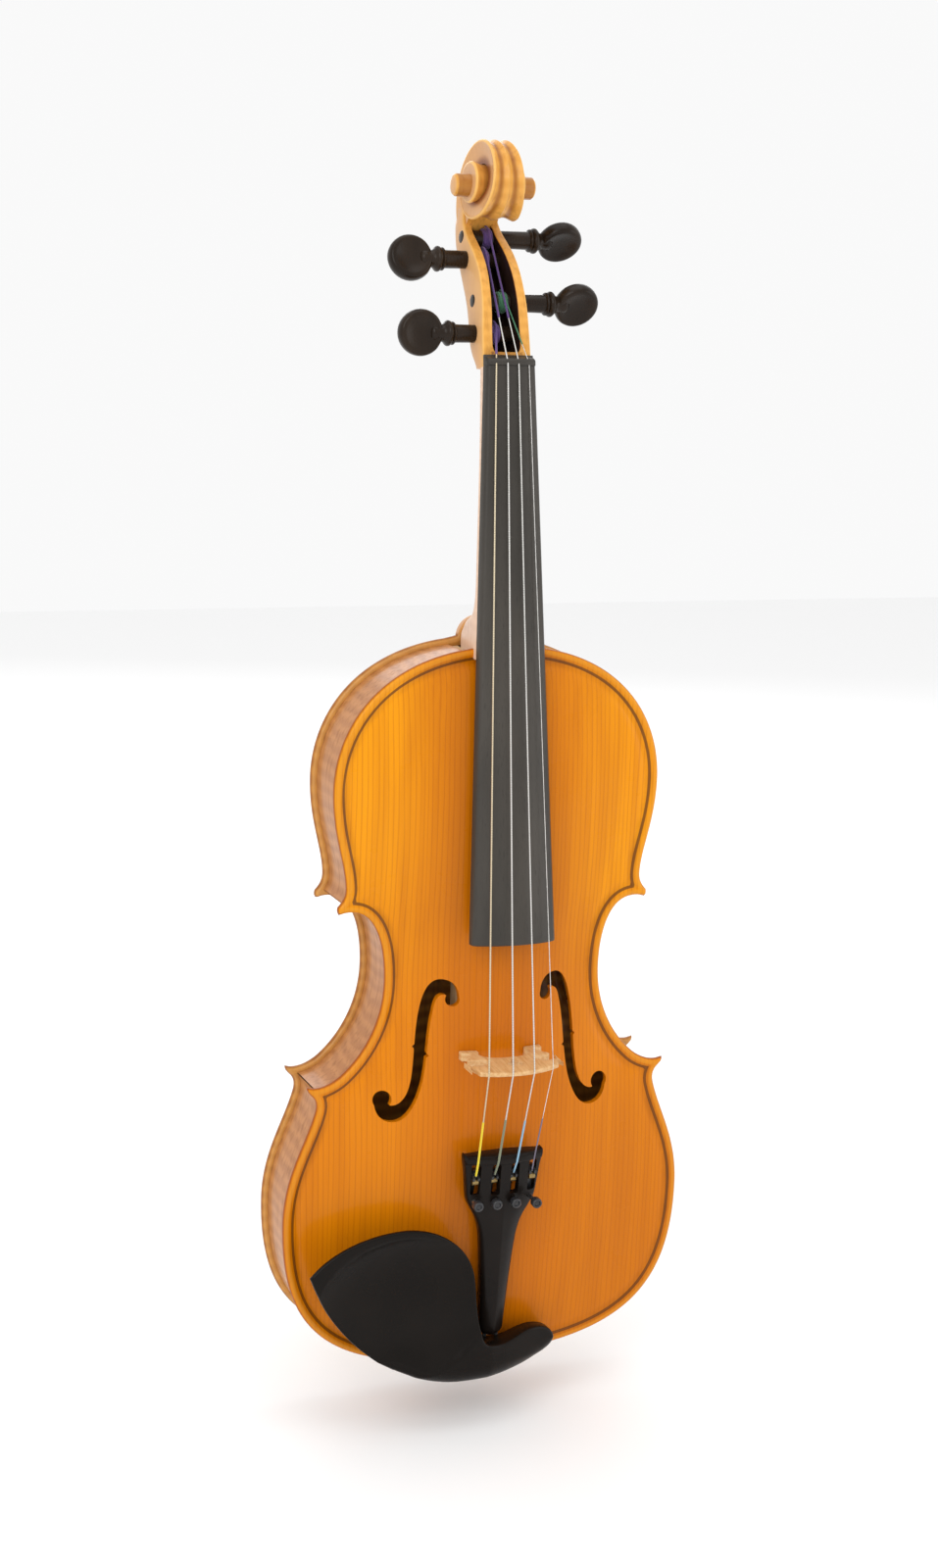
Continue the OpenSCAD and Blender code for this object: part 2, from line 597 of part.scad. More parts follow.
// The paths of all strings as straight bores, which seat them in the nut, the bridge and the fret
module string_grooves(from, clear = 0.05) {
    for (i = [0:3], k = [from, from + 1]) {
        p = string_path(i);
        rod(p[k], p[k + 1], string_r[i] + clear);
    }
}
module nut() color("black") {
    carved() difference() {
        in_neck_frame() intersection() {
            translate([-nut_width / 2 - 0.3, 0, 0]) rotate([90, 0, 90]) linear_extrude(nut_width + 0.6)
                polygon([[nut_s + 0.02, 0.02], [nut_s + nut_length, 0.02], [nut_s + nut_length, 2.4],
                         [nut_s + 2.4, 9], [nut_s + 0.02, 9]]);
            translate([0, nut_s - 1, board_edge + arc_rise(nut_width / 2, 0) - board_radius])
                rotate([-90, 0, 0])
                cylinder(h = 8, r = board_radius + 0.8, $fn = 160);
        }
        string_grooves(2);
    }
}
module bridge_profile() {
    belly = arch_at(0, bridge_at, belly_rise);
    n = 12;
    crown_half = 20.6;
    // heights in this list are over the belly's highest line
    side = concat(
        [[23.2, 22.6], [23.4, 20.4], [21.8, 17.8]],
        stretch([19.6, 17.2], [16, 18.4], [12.2, 17], [11.8, 14], 4),
        stretch([11.8, 14], [12, 11.4], [16, 11.4], [19.4, 11.6], 4),
        [[21.2, 10.6], [21.4, 9.2], [19.4, 7.6], [17.2, 5.4], [17, 3.4], [18.6, 2.4], [20.75, 1.8]]);
    inner = concat([[12.1, 1.8], [12.9, 3.6], [12.6, 5.6]],
                   stretch([12.6, 5.6], [11, 9.6], [6, 10.4], [0, 10.4], 5));
    foot = [for (x = [20.75:-1.73:12]) [x, arch_at(x, bridge_at - 2.4, belly_rise) - belly + 0.12]];
    half = concat(side, foot, inner);
    difference() {
        polygon(concat(
            [for (i = [0:n]) let (x = crown_half * (2 * i / n - 1)) [x, crown(x) - 0.2]],
            [for (p = half) [p[0], p[1] + belly]],
            [[0, belly + 10.4]],
            [for (p = flipped(half)) [-p[0], p[1] + belly]]));
        translate([0, belly + 17]) {
            circle(2.3);
            for (side = [-1, 1]) translate([side * 2.2, 2.2]) circle(2);
            translate([0, -2]) square([1.4, 4], center = true);
        }
    }
}
module bridge() color("burlywood") {
    thick = 4.6;
    crown_thick = 2;
    high = 42;
    difference() {
        translate([0, bridge_at + thick / 2, edge_top]) rotate([90, 0, 0])
            linear_extrude(thick) bridge_profile();
        translate([-30, bridge_at + thick / 2, edge_top + 8])
            rotate([atan((thick - crown_thick) / (high - 8)), 0, 0]) cube([60, 10, 60]);
        for (i = [0:3], k = [1, 3]) {
            from = string_path(i)[k];
            rise = on_bridge(i) - from;
            rod(from, on_bridge(i) + 5 * rise / norm(rise), string_r[i] + 0.05);
        }
    }
}

// ---- Tailpiece and fine tuners ----

slot_half = 2.2;
gut_r = 1;
gut_x = 3;
gut_high = 3.6;
module tailpiece() color("black") {
    across = 12;
    stations = [0, 1, 3, 8, 18, 28, 38, 48, 53, 58, 63, 68, 73, 78, 83, 88, 92.4, 92.9, 95.6,
                tailpiece_length];
    carved() difference() {
        in_tail_frame() loft([for (s = stations)
            let (w = smooth(tail_half, s), fret = s > 92.5 && s < 96 ? fret_rise : 0)
            concat([for (i = [0:across]) let (u = 2 * i / across - 1) [u * w, s, tail_top(s, u * w) + fret]],
                   [[w - 0.6, s, 0], [-w + 0.6, s, 0]])]);
        in_tail_frame() {
            for (i = [0:3]) translate([tuner_x(i), 0, 0]) {
                translate([-slot_half, 70, -1]) cube([2 * slot_half, 21.5, 5.2]);
                translate([-slot_half, 76.5, -1]) cube([2 * slot_half, 15.9, 12]);
                translate([0, screw_at, 0]) cylinder(h = 12, r = screw_r + 0.06, $fn = 24);
            }
            translate([-pin_half - 0.1, pivot[0], pivot[1]]) rotate([0, 90, 0])
                cylinder(h = 2 * pin_half + 0.2, r = pin_r + 0.02, $fn = 24);
            for (side = [-1, 1]) translate([side * gut_x, -1, gut_high]) rotate([-90, 0, 0])
                cylinder(h = 13, r = gut_r + 0.05, $fn = 24);
        }
        for (i = [0:3]) {
            p = string_path(i);
            rod(p[0], p[1], string_r[i] + 0.05);
            rod(p[1], p[2], string_r[i] + 0.05);
        }
    }
}
pin_r = 0.8;
pin_half = 17.5;
module tuner_pins() color("silver") {
    in_tail_frame() translate([-pin_half, pivot[0], pivot[1]]) rotate([0, 90, 0])
        cylinder(h = 2 * pin_half, r = pin_r);
}
screw_r = 1.1;
lever_arm = pivot[0] - screw_at;
lever_half = 1.8;
lever_top = 2.7;
wound_in = [3, 3, 2.7, 0.2];           // how far each screw is wound in
function lever_tilt(i) = atan(wound_in[i] / lever_arm);
// Puts a piece drawn beside an untilted lever on lever i
module on_lever(i) {
    in_tail_frame() translate([tuner_x(i), pivot[0], pivot[1]]) rotate([lever_tilt(i), 0, 0])
        translate([0, -pivot[0], -pivot[1]]) children();
}
module tuner_lever(i) color("gray") {
    on_lever(i) difference() {
        translate([-lever_half, 0, 0]) rotate([90, 0, 90]) linear_extrude(2 * lever_half) polygon([
            [71.4, 1.1], [85.4, 0.6], [88.4, 0.7], [88.4, 3], [87, 7.6], [85.4, 7.6], [85.4, lever_top],
            [71.4, lever_top]]);
        translate([-3, pivot[0], pivot[1]]) rotate([0, 90, 0]) cylinder(h = 6, r = pin_r + 0.05);
        translate([-0.7, 84, 4.4]) cube([1.4, 6, 6]);
    }
}
module ball_end(i) color("gold") {
    ball_r = 1.6;
    on_lever(i) translate([-1.5, 85.4 - ball_r - 0.05, hook_high - 0.6]) rotate([0, 90, 0])
        cylinder(h = 3, r = ball_r);
}
screw_long = 11.4;
knob_high = 3.6;
knob_bore = 2;
screw_foot = 0.35;                     // from the screw's tip to its lever
function screw_tip(i) = lever_top - wound_in[i] + screw_foot;
module on_screw(i) { in_tail_frame() translate([tuner_x(i), screw_at, screw_tip(i)]) children(); }
module tuner_screw(i) color("silver") {
    on_screw(i) rotate_extrude()
        polygon([[0, 0], [0.7, 0], [screw_r, 0.5], [screw_r, screw_long], [0, screw_long]]);
}
module tuner_knob(i) color("black") {
    r = knob_diameter / 2;
    on_screw(i) translate([0, 0, screw_long - knob_bore + 0.1]) rotate_extrude() polygon([
        [screw_r + 0.05, -0.05], [r - 0.5, -0.05], [r, 0.4], [r, knob_high - 0.7], [r - 0.7, knob_high],
        [0, knob_high + 0.2], [0, knob_bore], [screw_r + 0.05, knob_bore]]);
}
module tailgut() color("dimgray") {
    ring_r = button_neck + gut_r + 0.1;
    ring_y = -button_gap / 2;
    half = concat(
        [from_tail([gut_x, 10, gut_high]), from_tail([gut_x, -1, gut_high])],
        [[3.3, 5.6, rib_top + saddle_height + 1.6], [3.5, 3.2, rib_top + saddle_height + 1.15],
         [3.7, 1.2, rib_top + saddle_height + 1.05], [4, -0.3, rib_top + saddle_height - 0.1],
         [4.3, ring_y, rib_top + saddle_height - 2.6], [ring_r, ring_y, 6]],
        [for (a = [0:-18:-72]) [ring_r * cos(a), ring_y, ring_r * sin(a)]]);
    tube(concat(half, [[0, ring_y, -ring_r]], [for (p = flipped(half)) [-p[0], p[1], p[2]]]), gut_r, 8);
}

// ---- Chin rest ----

pad_thick = 2.2;
plate_low = edge_top + pad_thick + 0.05;
rest_outline = concat(
    stretch([-97.3, 62], [-88, 73], [-70, 80.5], [-50, 80.5], 6),
    stretch([-50, 80.5], [-32, 80], [-18, 69], [-13.5, 54], 6),
    stretch([-13.5, 54], [-10.5, 44], [-12, 20.5], [-6.2, 17.2], 6),
    [[-5.6, 16.8], [5.6, 16.6]],
    stretch([5.6, 16.6], [10, 20], [15, 24.5], [20.5, 24], 4),
    stretch([20.5, 24], [26, 23.6], [32.5, 19], [32.6, 12.5], 4),
    stretch([32.6, 12.5], [32, 3], [10, -2.6], [-16, -2.6], 8),
    stretch([-16, -2.6], [-48, -2.6], [-82, 22], [-97.3, 62], 12));
saddle_room = 0.5;                     // clearance beside the saddle
module chinrest() color("black") {
    high = 25;
    cup = [-50, 40];
    carved() translate([0, 0, edge_top]) difference() {
        translate([0, 0, pad_thick + 0.05]) linear_extrude(high - pad_thick) polygon(rest_outline);
        translate([cup[0], cup[1], high + 9]) scale([1, 0.82, 0.36]) sphere(r = 52, $fn = 48);
        // the underside is hollow except along the tail end
        translate([-120, 13, -1]) cube([200, 100, 12]);
        translate([-120, -10, -1]) cube([72, 40, 12]);
        translate([-9.5, -10, -1]) cube([19, 40, 14.2]);
        // room for the saddle
        translate([-saddle_half - saddle_room, -0.3, -1])
            cube([2 * (saddle_half + saddle_room), saddle_depth + 0.7, saddle_height - edge_thickness + 1.5]);
        // the arm past the tailpiece is lower than the cup
        translate([-4, -10, high]) rotate([0, 12, 0]) cube([60, 60, 20]);
    }
}
module pad_area() {
    inner = saddle_half + saddle_room;
    translate([-44, 0]) square([44 - inner, 6.6]);
    translate([inner, 0]) square([28 - inner, 6.6]);
}
module chinrest_cork() color("tan") {
    translate([0, 0, edge_top + 0.02]) linear_extrude(pad_thick) intersection() {
        pad_area();
        body_shape(0.6);
    }
}
barrel = [13.5, -3.2];                 // axis of the treble barrel
barrel_r = 2.3;
barrel_half = 14;
stud_r = 1.1;
stud_in = 9;
bar_half = 17;
bar_y = [-4.9, -2.5];
foot_pad = 1.6;
module studs(z, long) {
    for (side = [-1, 1]) translate([side * barrel[0], barrel[1], z]) cylinder(h = long, r = stud_r);
}
module clamp_bracket() color("silver") {
    low = edge_top - 1.2;
    studs(barrel_half - stud_in, low - barrel_half + stud_in + 0.5);
    translate([-bar_half, bar_y[0], low]) cube([2 * bar_half, bar_y[1] - bar_y[0], plate_low - 0.02 - low]);
}
module clamp_barrel(side) color("silver") {
    translate([side * barrel[0], barrel[1], 0]) difference() {
        translate([0, 0, -barrel_half]) cylinder(h = 2 * barrel_half, r = barrel_r);
        translate([0, 0, -barrel_half - 1]) cylinder(h = 2 * barrel_half + 2, r = stud_r + 0.06);
        translate([0, 6, 0]) rotate([90, 0, 0]) cylinder(h = 12, r = 0.7);
    }
}
foot_low = edge_top + foot_pad + 2;
module clamp_foot() color("silver") {
    studs(-foot_low + 0.5, foot_low - 0.5 - barrel_half + stud_in);
    translate([-bar_half, bar_y[0], -foot_low]) cube([2 * bar_half, 6.4 - bar_y[0], 1.9]);
}
module clamp_foot_cork() color("tan") {
    translate([-bar_half + 0.5, 0, -edge_top - foot_pad]) linear_extrude(foot_pad - 0.03)
        intersection() {
            square([2 * bar_half - 1, 6.2]);
            translate([bar_half - 0.5, 0]) body_shape(0.6);
        }
}

// ---- Assembly ----

upright() top_plate();
upright() back_plate();
upright() purfling();
for (r = RIBS, s = SIDES) upright() rib(r, s);
upright() linings();
upright() neck_block();
upright() end_block();
upright() corner_blocks();
upright() bass_bar();
upright() soundpost();
upright() saddle();
upright() end_button();
upright() neck();
upright() fingerboard();
upright() nut();
upright() bridge();
upright() tailpiece();
upright() tailgut();
upright() tuner_pins();
for (i = [0:3]) upright() tuner_lever(i);
for (i = [0:3]) upright() tuner_screw(i);
for (i = [0:3]) upright() tuner_knob(i);
for (i = [0:3]) upright() ball_end(i);
for (i = [0:3]) upright() string_run(i);
for (i = [0:3]) upright() string_winding(i);
for (i = [0:3]) upright() peg(i);
upright() chinrest();
upright() chinrest_cork();
upright() clamp_bracket();
upright() clamp_barrel(-1);  // clamp_barrel_bass
upright() clamp_barrel(1);  // clamp_barrel_treble
upright() clamp_foot();
upright() clamp_foot_cork();
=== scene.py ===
"""A full-size violin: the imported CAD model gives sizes, places and motion; this script gives the looks."""
import math

import bpy
import numpy as np
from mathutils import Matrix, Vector
from mathutils.geometry import delaunay_2d_cdt


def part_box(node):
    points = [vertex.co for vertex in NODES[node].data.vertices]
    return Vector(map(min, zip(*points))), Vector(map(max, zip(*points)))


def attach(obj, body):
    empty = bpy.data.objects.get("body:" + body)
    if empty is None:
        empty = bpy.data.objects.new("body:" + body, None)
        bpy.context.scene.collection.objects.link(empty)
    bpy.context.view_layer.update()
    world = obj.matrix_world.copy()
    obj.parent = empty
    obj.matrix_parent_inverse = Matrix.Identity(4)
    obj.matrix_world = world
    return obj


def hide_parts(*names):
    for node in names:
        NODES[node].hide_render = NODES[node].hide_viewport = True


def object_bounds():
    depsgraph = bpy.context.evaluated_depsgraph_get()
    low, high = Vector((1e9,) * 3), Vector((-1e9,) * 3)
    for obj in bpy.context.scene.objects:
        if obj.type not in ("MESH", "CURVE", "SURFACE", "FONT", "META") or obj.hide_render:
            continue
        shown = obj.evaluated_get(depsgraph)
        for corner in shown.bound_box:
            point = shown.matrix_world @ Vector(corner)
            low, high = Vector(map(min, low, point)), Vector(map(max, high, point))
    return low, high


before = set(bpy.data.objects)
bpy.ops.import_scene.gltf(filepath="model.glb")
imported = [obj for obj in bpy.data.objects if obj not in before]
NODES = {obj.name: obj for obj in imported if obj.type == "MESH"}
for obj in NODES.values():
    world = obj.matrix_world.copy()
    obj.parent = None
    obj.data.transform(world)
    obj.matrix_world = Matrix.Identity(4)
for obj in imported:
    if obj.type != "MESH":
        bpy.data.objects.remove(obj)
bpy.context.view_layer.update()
BODY = "violin"
STRINGS = ("g", "d", "a", "e")
MM = 0.001

# ---- Places taken from the frame, in millimetres ----
# Bench frame: x to the treble side, y from the tail end to the scroll, z out of the belly, 0 at mid-rib.


def box_mm(node):
    low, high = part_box(node)
    return np.array(low) / MM, np.array(high) / MM


BUTTON_OUT = 6.6  # how far the end button stands out from the tail end
TAIL_Z = box_mm("end_button")[0][2] + BUTTON_OUT
BODY_LENGTH = 356.0
RIB_TOP = box_mm("rib_upper_bass")[1][1]
EDGE = 3.8
EDGE_TOP = RIB_TOP + EDGE
OVERHANG = 2.8
RIB = 1.2
BELLY_RISE = 12.0
BACK_RISE = 11.5
NECK_ANGLE = math.radians(6.14)
OVERSTAND = 4.2
NUT_S = 129 / math.cos(NECK_ANGLE)
BOARD_RADIUS = 42.0
BRIDGE_AT = 161.0


def bench(points):
    """Bench millimetres to frame metres."""
    p = np.asarray(points, float).reshape(-1, 3)
    return np.stack([p[:, 0], -p[:, 2], p[:, 1] + TAIL_Z], 1) * MM


def from_neck(points):
    """(x, along the neck, over its gluing face) to bench."""
    p = np.asarray(points, float).reshape(-1, 3)
    c, s = math.cos(NECK_ANGLE), math.sin(NECK_ANGLE)
    return np.stack([p[:, 0], BODY_LENGTH + p[:, 1] * c + p[:, 2] * s,
                     EDGE_TOP + OVERSTAND - p[:, 1] * s + p[:, 2] * c], 1)


TAIL_START, TAIL_LIFT, TAIL_PITCH = 18.0, 8.2, math.radians(5)


def from_tail(points):
    """(x, along the tailpiece, over its underside) to bench."""
    p = np.asarray(points, float).reshape(-1, 3)
    c, s = math.cos(TAIL_PITCH), math.sin(TAIL_PITCH)
    return np.stack([p[:, 0], TAIL_START + p[:, 1] * c - p[:, 2] * s,
                     EDGE_TOP + TAIL_LIFT + p[:, 1] * s + p[:, 2] * c], 1)


# ---- Camera, light and floor ----

CAMERA_AT = (-0.4353, -1.0721, 0.5201)
CAMERA_TURN = (78.743, -1.863, -21.342)
CAMERA_LENS = 56.28


def make_camera():
    data = bpy.data.cameras.new("camera")
    data.lens = CAMERA_LENS
    data.sensor_width = 36
    data.clip_start = 0.02
    cam = bpy.data.objects.new("camera", data)
    cam.location = CAMERA_AT
    cam.rotation_euler = [math.radians(a) for a in CAMERA_TURN]
    bpy.context.scene.collection.objects.link(cam)
    bpy.context.scene.camera = cam


def area_light(name, at, aim, size, power):
    data = bpy.data.lights.new(name, "AREA")
    data.shape = "RECTANGLE"
    data.size, data.size_y = size
    data.energy = power
    lamp = bpy.data.objects.new(name, data)
    lamp.location = at
    lamp.rotation_euler = (Vector(aim) - Vector(at)).to_track_quat("-Z", "Y").to_euler()
    bpy.context.scene.collection.objects.link(lamp)


def make_studio():
    area_light("key", (-1.3, -1.5, 1.5), (0, 0, 0.3), (1.2, 1.4), 15)
    area_light("fill", (1.7, -1.1, 0.7), (0, 0, 0.3), (1.0, 1.6), 6)
    area_light("top", (0.0, -0.2, 2.0), (0, 0, 0.3), (1.4, 1.4), 6)
    area_light("rear", (0.6, 1.8, 1.2), (0, 0, 0.3), (1.6, 1.2), 8)
    world = bpy.data.worlds.new("studio")
    world.use_nodes = True
    world.node_tree.nodes["Background"].inputs["Color"].default_value = (1, 1, 1, 1)
    world.node_tree.nodes["Background"].inputs["Strength"].default_value = 0.95
    bpy.context.scene.world = world
    bpy.context.scene.view_settings.view_transform = "Standard"


def make_floor():
    half, gap = 3.0, 0.02
    mesh = bpy.data.meshes.new("floor")
    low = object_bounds()[0][2] - gap
    corners = [(-half, -half, low), (half, -half, low), (half, half, low), (-half, half, low)]
    mesh.from_pydata(corners, [], [(0, 1, 2, 3)])
    floor = bpy.data.objects.new("floor", mesh)
    bpy.context.scene.collection.objects.link(floor)
    floor.data.materials.append(plain("floor", (0.93, 0.93, 0.93), 0.9))


# ---- Small tools for shader trees ----


class Shader:
    """A material's node tree, with short ways to add and join nodes."""

    def __init__(self, name):
        self.mat = bpy.data.materials.new(name)
        self.mat.use_nodes = True
        self.tree = self.mat.node_tree
        self.bsdf = self.tree.nodes["Principled BSDF"]

    def node(self, kind, **values):
        n = self.tree.nodes.new(kind)
        for key, value in values.items():
            setattr(n, key, value)
        return n

    def link(self, a, b):
        self.tree.links.new(a, b)

    def put(self, socket, value):
        if isinstance(value, bpy.types.NodeSocket):
            self.link(value, socket)
        else:
            socket.default_value = value

    def coords(self, scale=(1, 1, 1), turn=(0, 0, 0)):
        tex = self.node("ShaderNodeTexCoord")
        place = self.node("ShaderNodeMapping")
        place.inputs["Scale"].default_value = scale
        place.inputs["Rotation"].default_value = turn
        self.link(tex.outputs["Object"], place.inputs["Vector"])
        return place.outputs["Vector"]

    def noise(self, scale, detail=3.0):
        """Noise with scale cells to the metre along each axis."""
        n = self.node("ShaderNodeTexNoise")
        self.link(self.coords(scale), n.inputs["Vector"])
        n.inputs["Scale"].default_value = 1.0
        n.inputs["Detail"].default_value = detail
        n.inputs["Roughness"].default_value = 0.55
        return n.outputs["Fac"]

    def math(self, op, a, b=0.0):
        n = self.node("ShaderNodeMath", operation=op)
        self.put(n.inputs[0], a)
        self.put(n.inputs[1], b)
        return n.outputs[0]

    def plus(self, a, b):
        return self.math("ADD", a, b)

    def minus(self, a, b):
        return self.math("SUBTRACT", a, b)

    def times(self, a, b):
        return self.math("MULTIPLY", a, b)

    def band(self, fac, low, high, out_low=0.0, out_high=1.0):
        n = self.node("ShaderNodeMapRange")
        n.interpolation_type = "SMOOTHSTEP"
        self.link(fac, n.inputs["Value"])
        for key, value in (("From Min", low), ("From Max", high), ("To Min", out_low), ("To Max", out_high)):
            n.inputs[key].default_value = value
        return n.outputs["Result"]

    def put_colour(self, socket, value):
        self.put(socket, value if isinstance(value, bpy.types.NodeSocket) else (*value, 1))

    def mix(self, fac, a, b):
        n = self.node("ShaderNodeMix", data_type="RGBA", blend_type="MIX")
        self.put(n.inputs["Factor"], fac)
        self.put_colour(n.inputs[6], a)
        self.put_colour(n.inputs[7], b)
        return n.outputs[2]

    def tint(self, base, mask, share, colour):
        """The base with a share of a colour laid over it where the mask is 1."""
        return self.mix(self.times(mask, share), base, colour)

    def attribute(self, name):
        return self.node("ShaderNodeAttribute", attribute_name=name).outputs["Fac"]

    def axis(self, vector, which):
        n = self.node("ShaderNodeSeparateXYZ")
        self.link(vector, n.inputs[0])
        return n.outputs[which]

    def bump(self, height, strength, distance):
        n = self.node("ShaderNodeBump")
        n.inputs["Strength"].default_value = strength
        n.inputs["Distance"].default_value = distance
        self.link(height, n.inputs["Height"])
        self.link(n.outputs["Normal"], self.bsdf.inputs["Normal"])

    def finish(self, colour, rough, **sockets):
        self.put_colour(self.bsdf.inputs["Base Color"], colour)
        self.put(self.bsdf.inputs["Roughness"], rough)
        for key, value in sockets.items():
            self.bsdf.inputs[key.replace("_", " ")].default_value = value
        return self.mat


def plain(name, colour, rough):
    return Shader(name).finish(colour, rough)


# ---- Materials ----


PURFLING = (3.9, 4.05, 5.25, 5.4)  # from the outline: where the inlaid line fades in, and where it fades out


def spruce_varnish():
    """Straight-grained spruce under golden orange varnish.

    The attribute edge is the distance from the outline in millimetres."""
    s = Shader("spruce_varnish")
    where = s.coords()
    x = s.axis(where, 0)
    z = s.axis(where, 2)
    drift = s.noise((45, 45, 3.0), 3.0)
    across = s.plus(s.times(x, 1000.0), s.times(drift, 9.0))
    ring = s.math("PINGPONG", s.times(across, 0.82), 1.0)
    fine = s.noise((2600, 900, 26), 2.0)
    late = s.band(s.plus(ring, s.times(s.minus(fine, 0.5), 0.5)), 0.62, 1.0)
    cloud = s.noise((9, 9, 5), 2.0)
    streak = s.noise((130, 130, 4), 3.0)
    half = s.math("ABSOLUTE", x)
    middle = s.band(half, 0.012, 0.062, 1.0, 0.0)
    lower = s.mix(s.band(cloud, 0.3, 0.7), (0.62, 0.180, 0.001), (0.72, 0.225, 0.001))
    upper = s.mix(s.band(cloud, 0.3, 0.7), (0.72, 0.240, 0.001), (0.80, 0.300, 0.002))
    base = s.mix(s.band(z, 0.16, 0.27), lower, upper)
    # painted shade over the treble side of the lower bout
    lower_treble_shade = s.times(s.band(x, -0.01, 0.07), s.band(z, 0.05, 0.2, 1.0, 0.0))
    base = s.tint(base, lower_treble_shade, 0.7, (0.50, 0.130, 0.001))
    base = s.tint(base, middle, 0.75, (0.50, 0.120, 0.001))
    base = s.tint(base, s.band(streak, 0.35, 0.7), 0.35, (0.45, 0.115, 0.002))
    base = s.tint(base, late, 0.34, (0.36, 0.085, 0.001))
    edge = s.attribute("edge")
    # shade is painted shade along the channel round the purfling, broken into blotches by noise
    shade = s.times(s.band(edge, 2.4, 4.0), s.band(edge, 5.2, 9.0, 1.0, 0.0))
    grime_and_shade = s.noise((60, 60, 60), 4.0)
    base = s.mix(s.times(shade, s.band(grime_and_shade, 0.2, 0.75, 0.0, 0.42)), base, (0.22, 0.055, 0.002))
    worn = s.band(s.math("ABSOLUTE", s.minus(edge, 1.7)), 0.5, 1.5, 1.0, 0.0)
    base = s.tint(base, worn, 0.5, (0.66, 0.27, 0.02))
    rim = s.band(edge, 0.0, 0.75, 1.0, 0.0)
    base = s.tint(base, rim, 0.85, (0.26, 0.055, 0.006))
    inlay = s.times(s.band(edge, *PURFLING[:2]), s.band(edge, *PURFLING[2:], 1.0, 0.0))
    core = s.times(s.band(edge, 4.38, 4.5), s.band(edge, 4.8, 4.92, 1.0, 0.0))
    base = s.tint(base, inlay, 0.75, (0.06, 0.020, 0.004))
    base = s.tint(base, core, 0.55, (0.22, 0.07, 0.01))
    s.bump(s.plus(late, s.times(grime_and_shade, 0.5)), 0.12, 0.0004)
    rough = s.band(grime_and_shade, 0.25, 0.8, 0.26, 0.4)
    return s.finish(base, rough, Coat_Weight=0.16, Coat_Roughness=0.1, Specular_IOR_Level=0.08)


def maple_varnish(name, light, deep, flame_scale=(12, 12, 150), flame=0.55, run=False, edged=False,
                  coat=0.25, sides=None, toned=False):
    """Flamed maple: dark and light bands across fine grain, under amber varnish.

    run lays the bands by the attribute run, edged gives a plate's rim and purfling with painted shade along
    the channel,
    sides is the colour of faces that look to either side, and toned shades by the attribute tone, from -2
    (near black:
    painted shade in the pegbox's hollow) through darker creases and flutes (painted shade with antique
    staining) to 1 (lighter rims: painted highlight with wear)."""
    s = Shader(name)
    if run:
        along = s.attribute("run")
        wob = s.noise((25, 60, 25), 2.0)
        phase = s.plus(s.times(along, 0.145), s.times(wob, 1.3))
        waves = s.math("SINE", s.times(phase, 6.283))
        rays = s.noise((350, 40, 350), 2.0)
    else:
        wob = s.noise((16, 16, 16), 2.0)
        tilt = s.axis(s.coords(flame_scale, (0, 0.10, 0)), 2)
        waves = s.math("SINE", s.plus(s.times(tilt, 6.283), s.times(wob, 16.0)))
        rays = s.noise((700, 700, 30), 3.0)
    breakup = s.noise((70, 70, 25), 3.0)
    bands = s.band(s.plus(waves, s.times(breakup, 1.6)), -0.6, 2.0)
    grain = s.noise((500, 500, 22), 3.0)
    colour = s.mix(s.times(bands, flame), light, deep)
    colour = s.tint(colour, s.band(grain, 0.45, 0.75), 0.35, tuple(c * 0.55 for c in deep))
    colour = s.tint(colour, s.band(rays, 0.5, 0.8), 0.2, tuple(c * 0.7 for c in deep))
    if sides:
        facing = s.math("ABSOLUTE", s.axis(s.node("ShaderNodeNewGeometry").outputs["Normal"], 0))
        colour = s.tint(colour, s.band(facing, 0.75, 0.95), 0.8, sides)
    if toned:
        tone = s.attribute("tone")
        # lighter towards 1: painted highlight on the rims, with wear; darker below 0: painted shade, near
        # black at -2 in the pegbox's hollow
        colour = s.tint(colour, s.band(tone, 0.0, 1.0), 0.75, (0.82, 0.47, 0.13))
        colour = s.tint(colour, s.band(tone, -1.0, 0.0, 1.0, 0.0), 0.9, (0.20, 0.045, 0.003))
        colour = s.mix(s.band(tone, -2.0, -1.2, 1.0, 0.0), colour, (0.016, 0.008, 0.006))
    if edged:
        edge = s.attribute("edge")
        rim = s.band(edge, 0.0, 0.8, 1.0, 0.0)
        inlay = s.times(s.band(edge, *PURFLING[:2]), s.band(edge, *PURFLING[2:], 1.0, 0.0))
        # shade is painted shade along the channel round the purfling
        shade = s.times(s.band(edge, 2.4, 4.0), s.band(edge, 5.2, 12.0, 1.0, 0.0))
        worn = s.band(s.math("ABSOLUTE", s.minus(edge, 1.7)), 0.5, 1.5, 1.0, 0.0)
        colour = s.tint(colour, shade, 0.5, (0.16, 0.05, 0.012))
        colour = s.tint(colour, worn, 0.6, (0.66, 0.34, 0.10))
        colour = s.tint(colour, rim, 0.6, (0.25, 0.07, 0.015))
        colour = s.mix(inlay, colour, (0.022, 0.008, 0.003))
        # the rim of the button is bare, like the heel
        z = s.axis(s.coords(), 2)
        rim_face = s.math("ABSOLUTE", s.axis(s.node("ShaderNodeNewGeometry").outputs["Normal"], 1))
        end = (TAIL_Z + BODY_LENGTH) * MM
        bare = s.times(s.band(z, end + 0.0003, end + 0.002), s.band(rim_face, 0.55, 0.85, 1.0, 0.0))
        colour = s.tint(colour, bare, 0.85, (0.66, 0.42, 0.26))
    s.bump(s.plus(grain, s.times(bands, 0.4)), 0.1, 0.0003)
    rough = s.band(grain, 0.3, 0.8, 0.28, 0.42)
    return s.finish(colour, rough, Coat_Weight=coat, Coat_Roughness=0.12, Specular_IOR_Level=0.1)


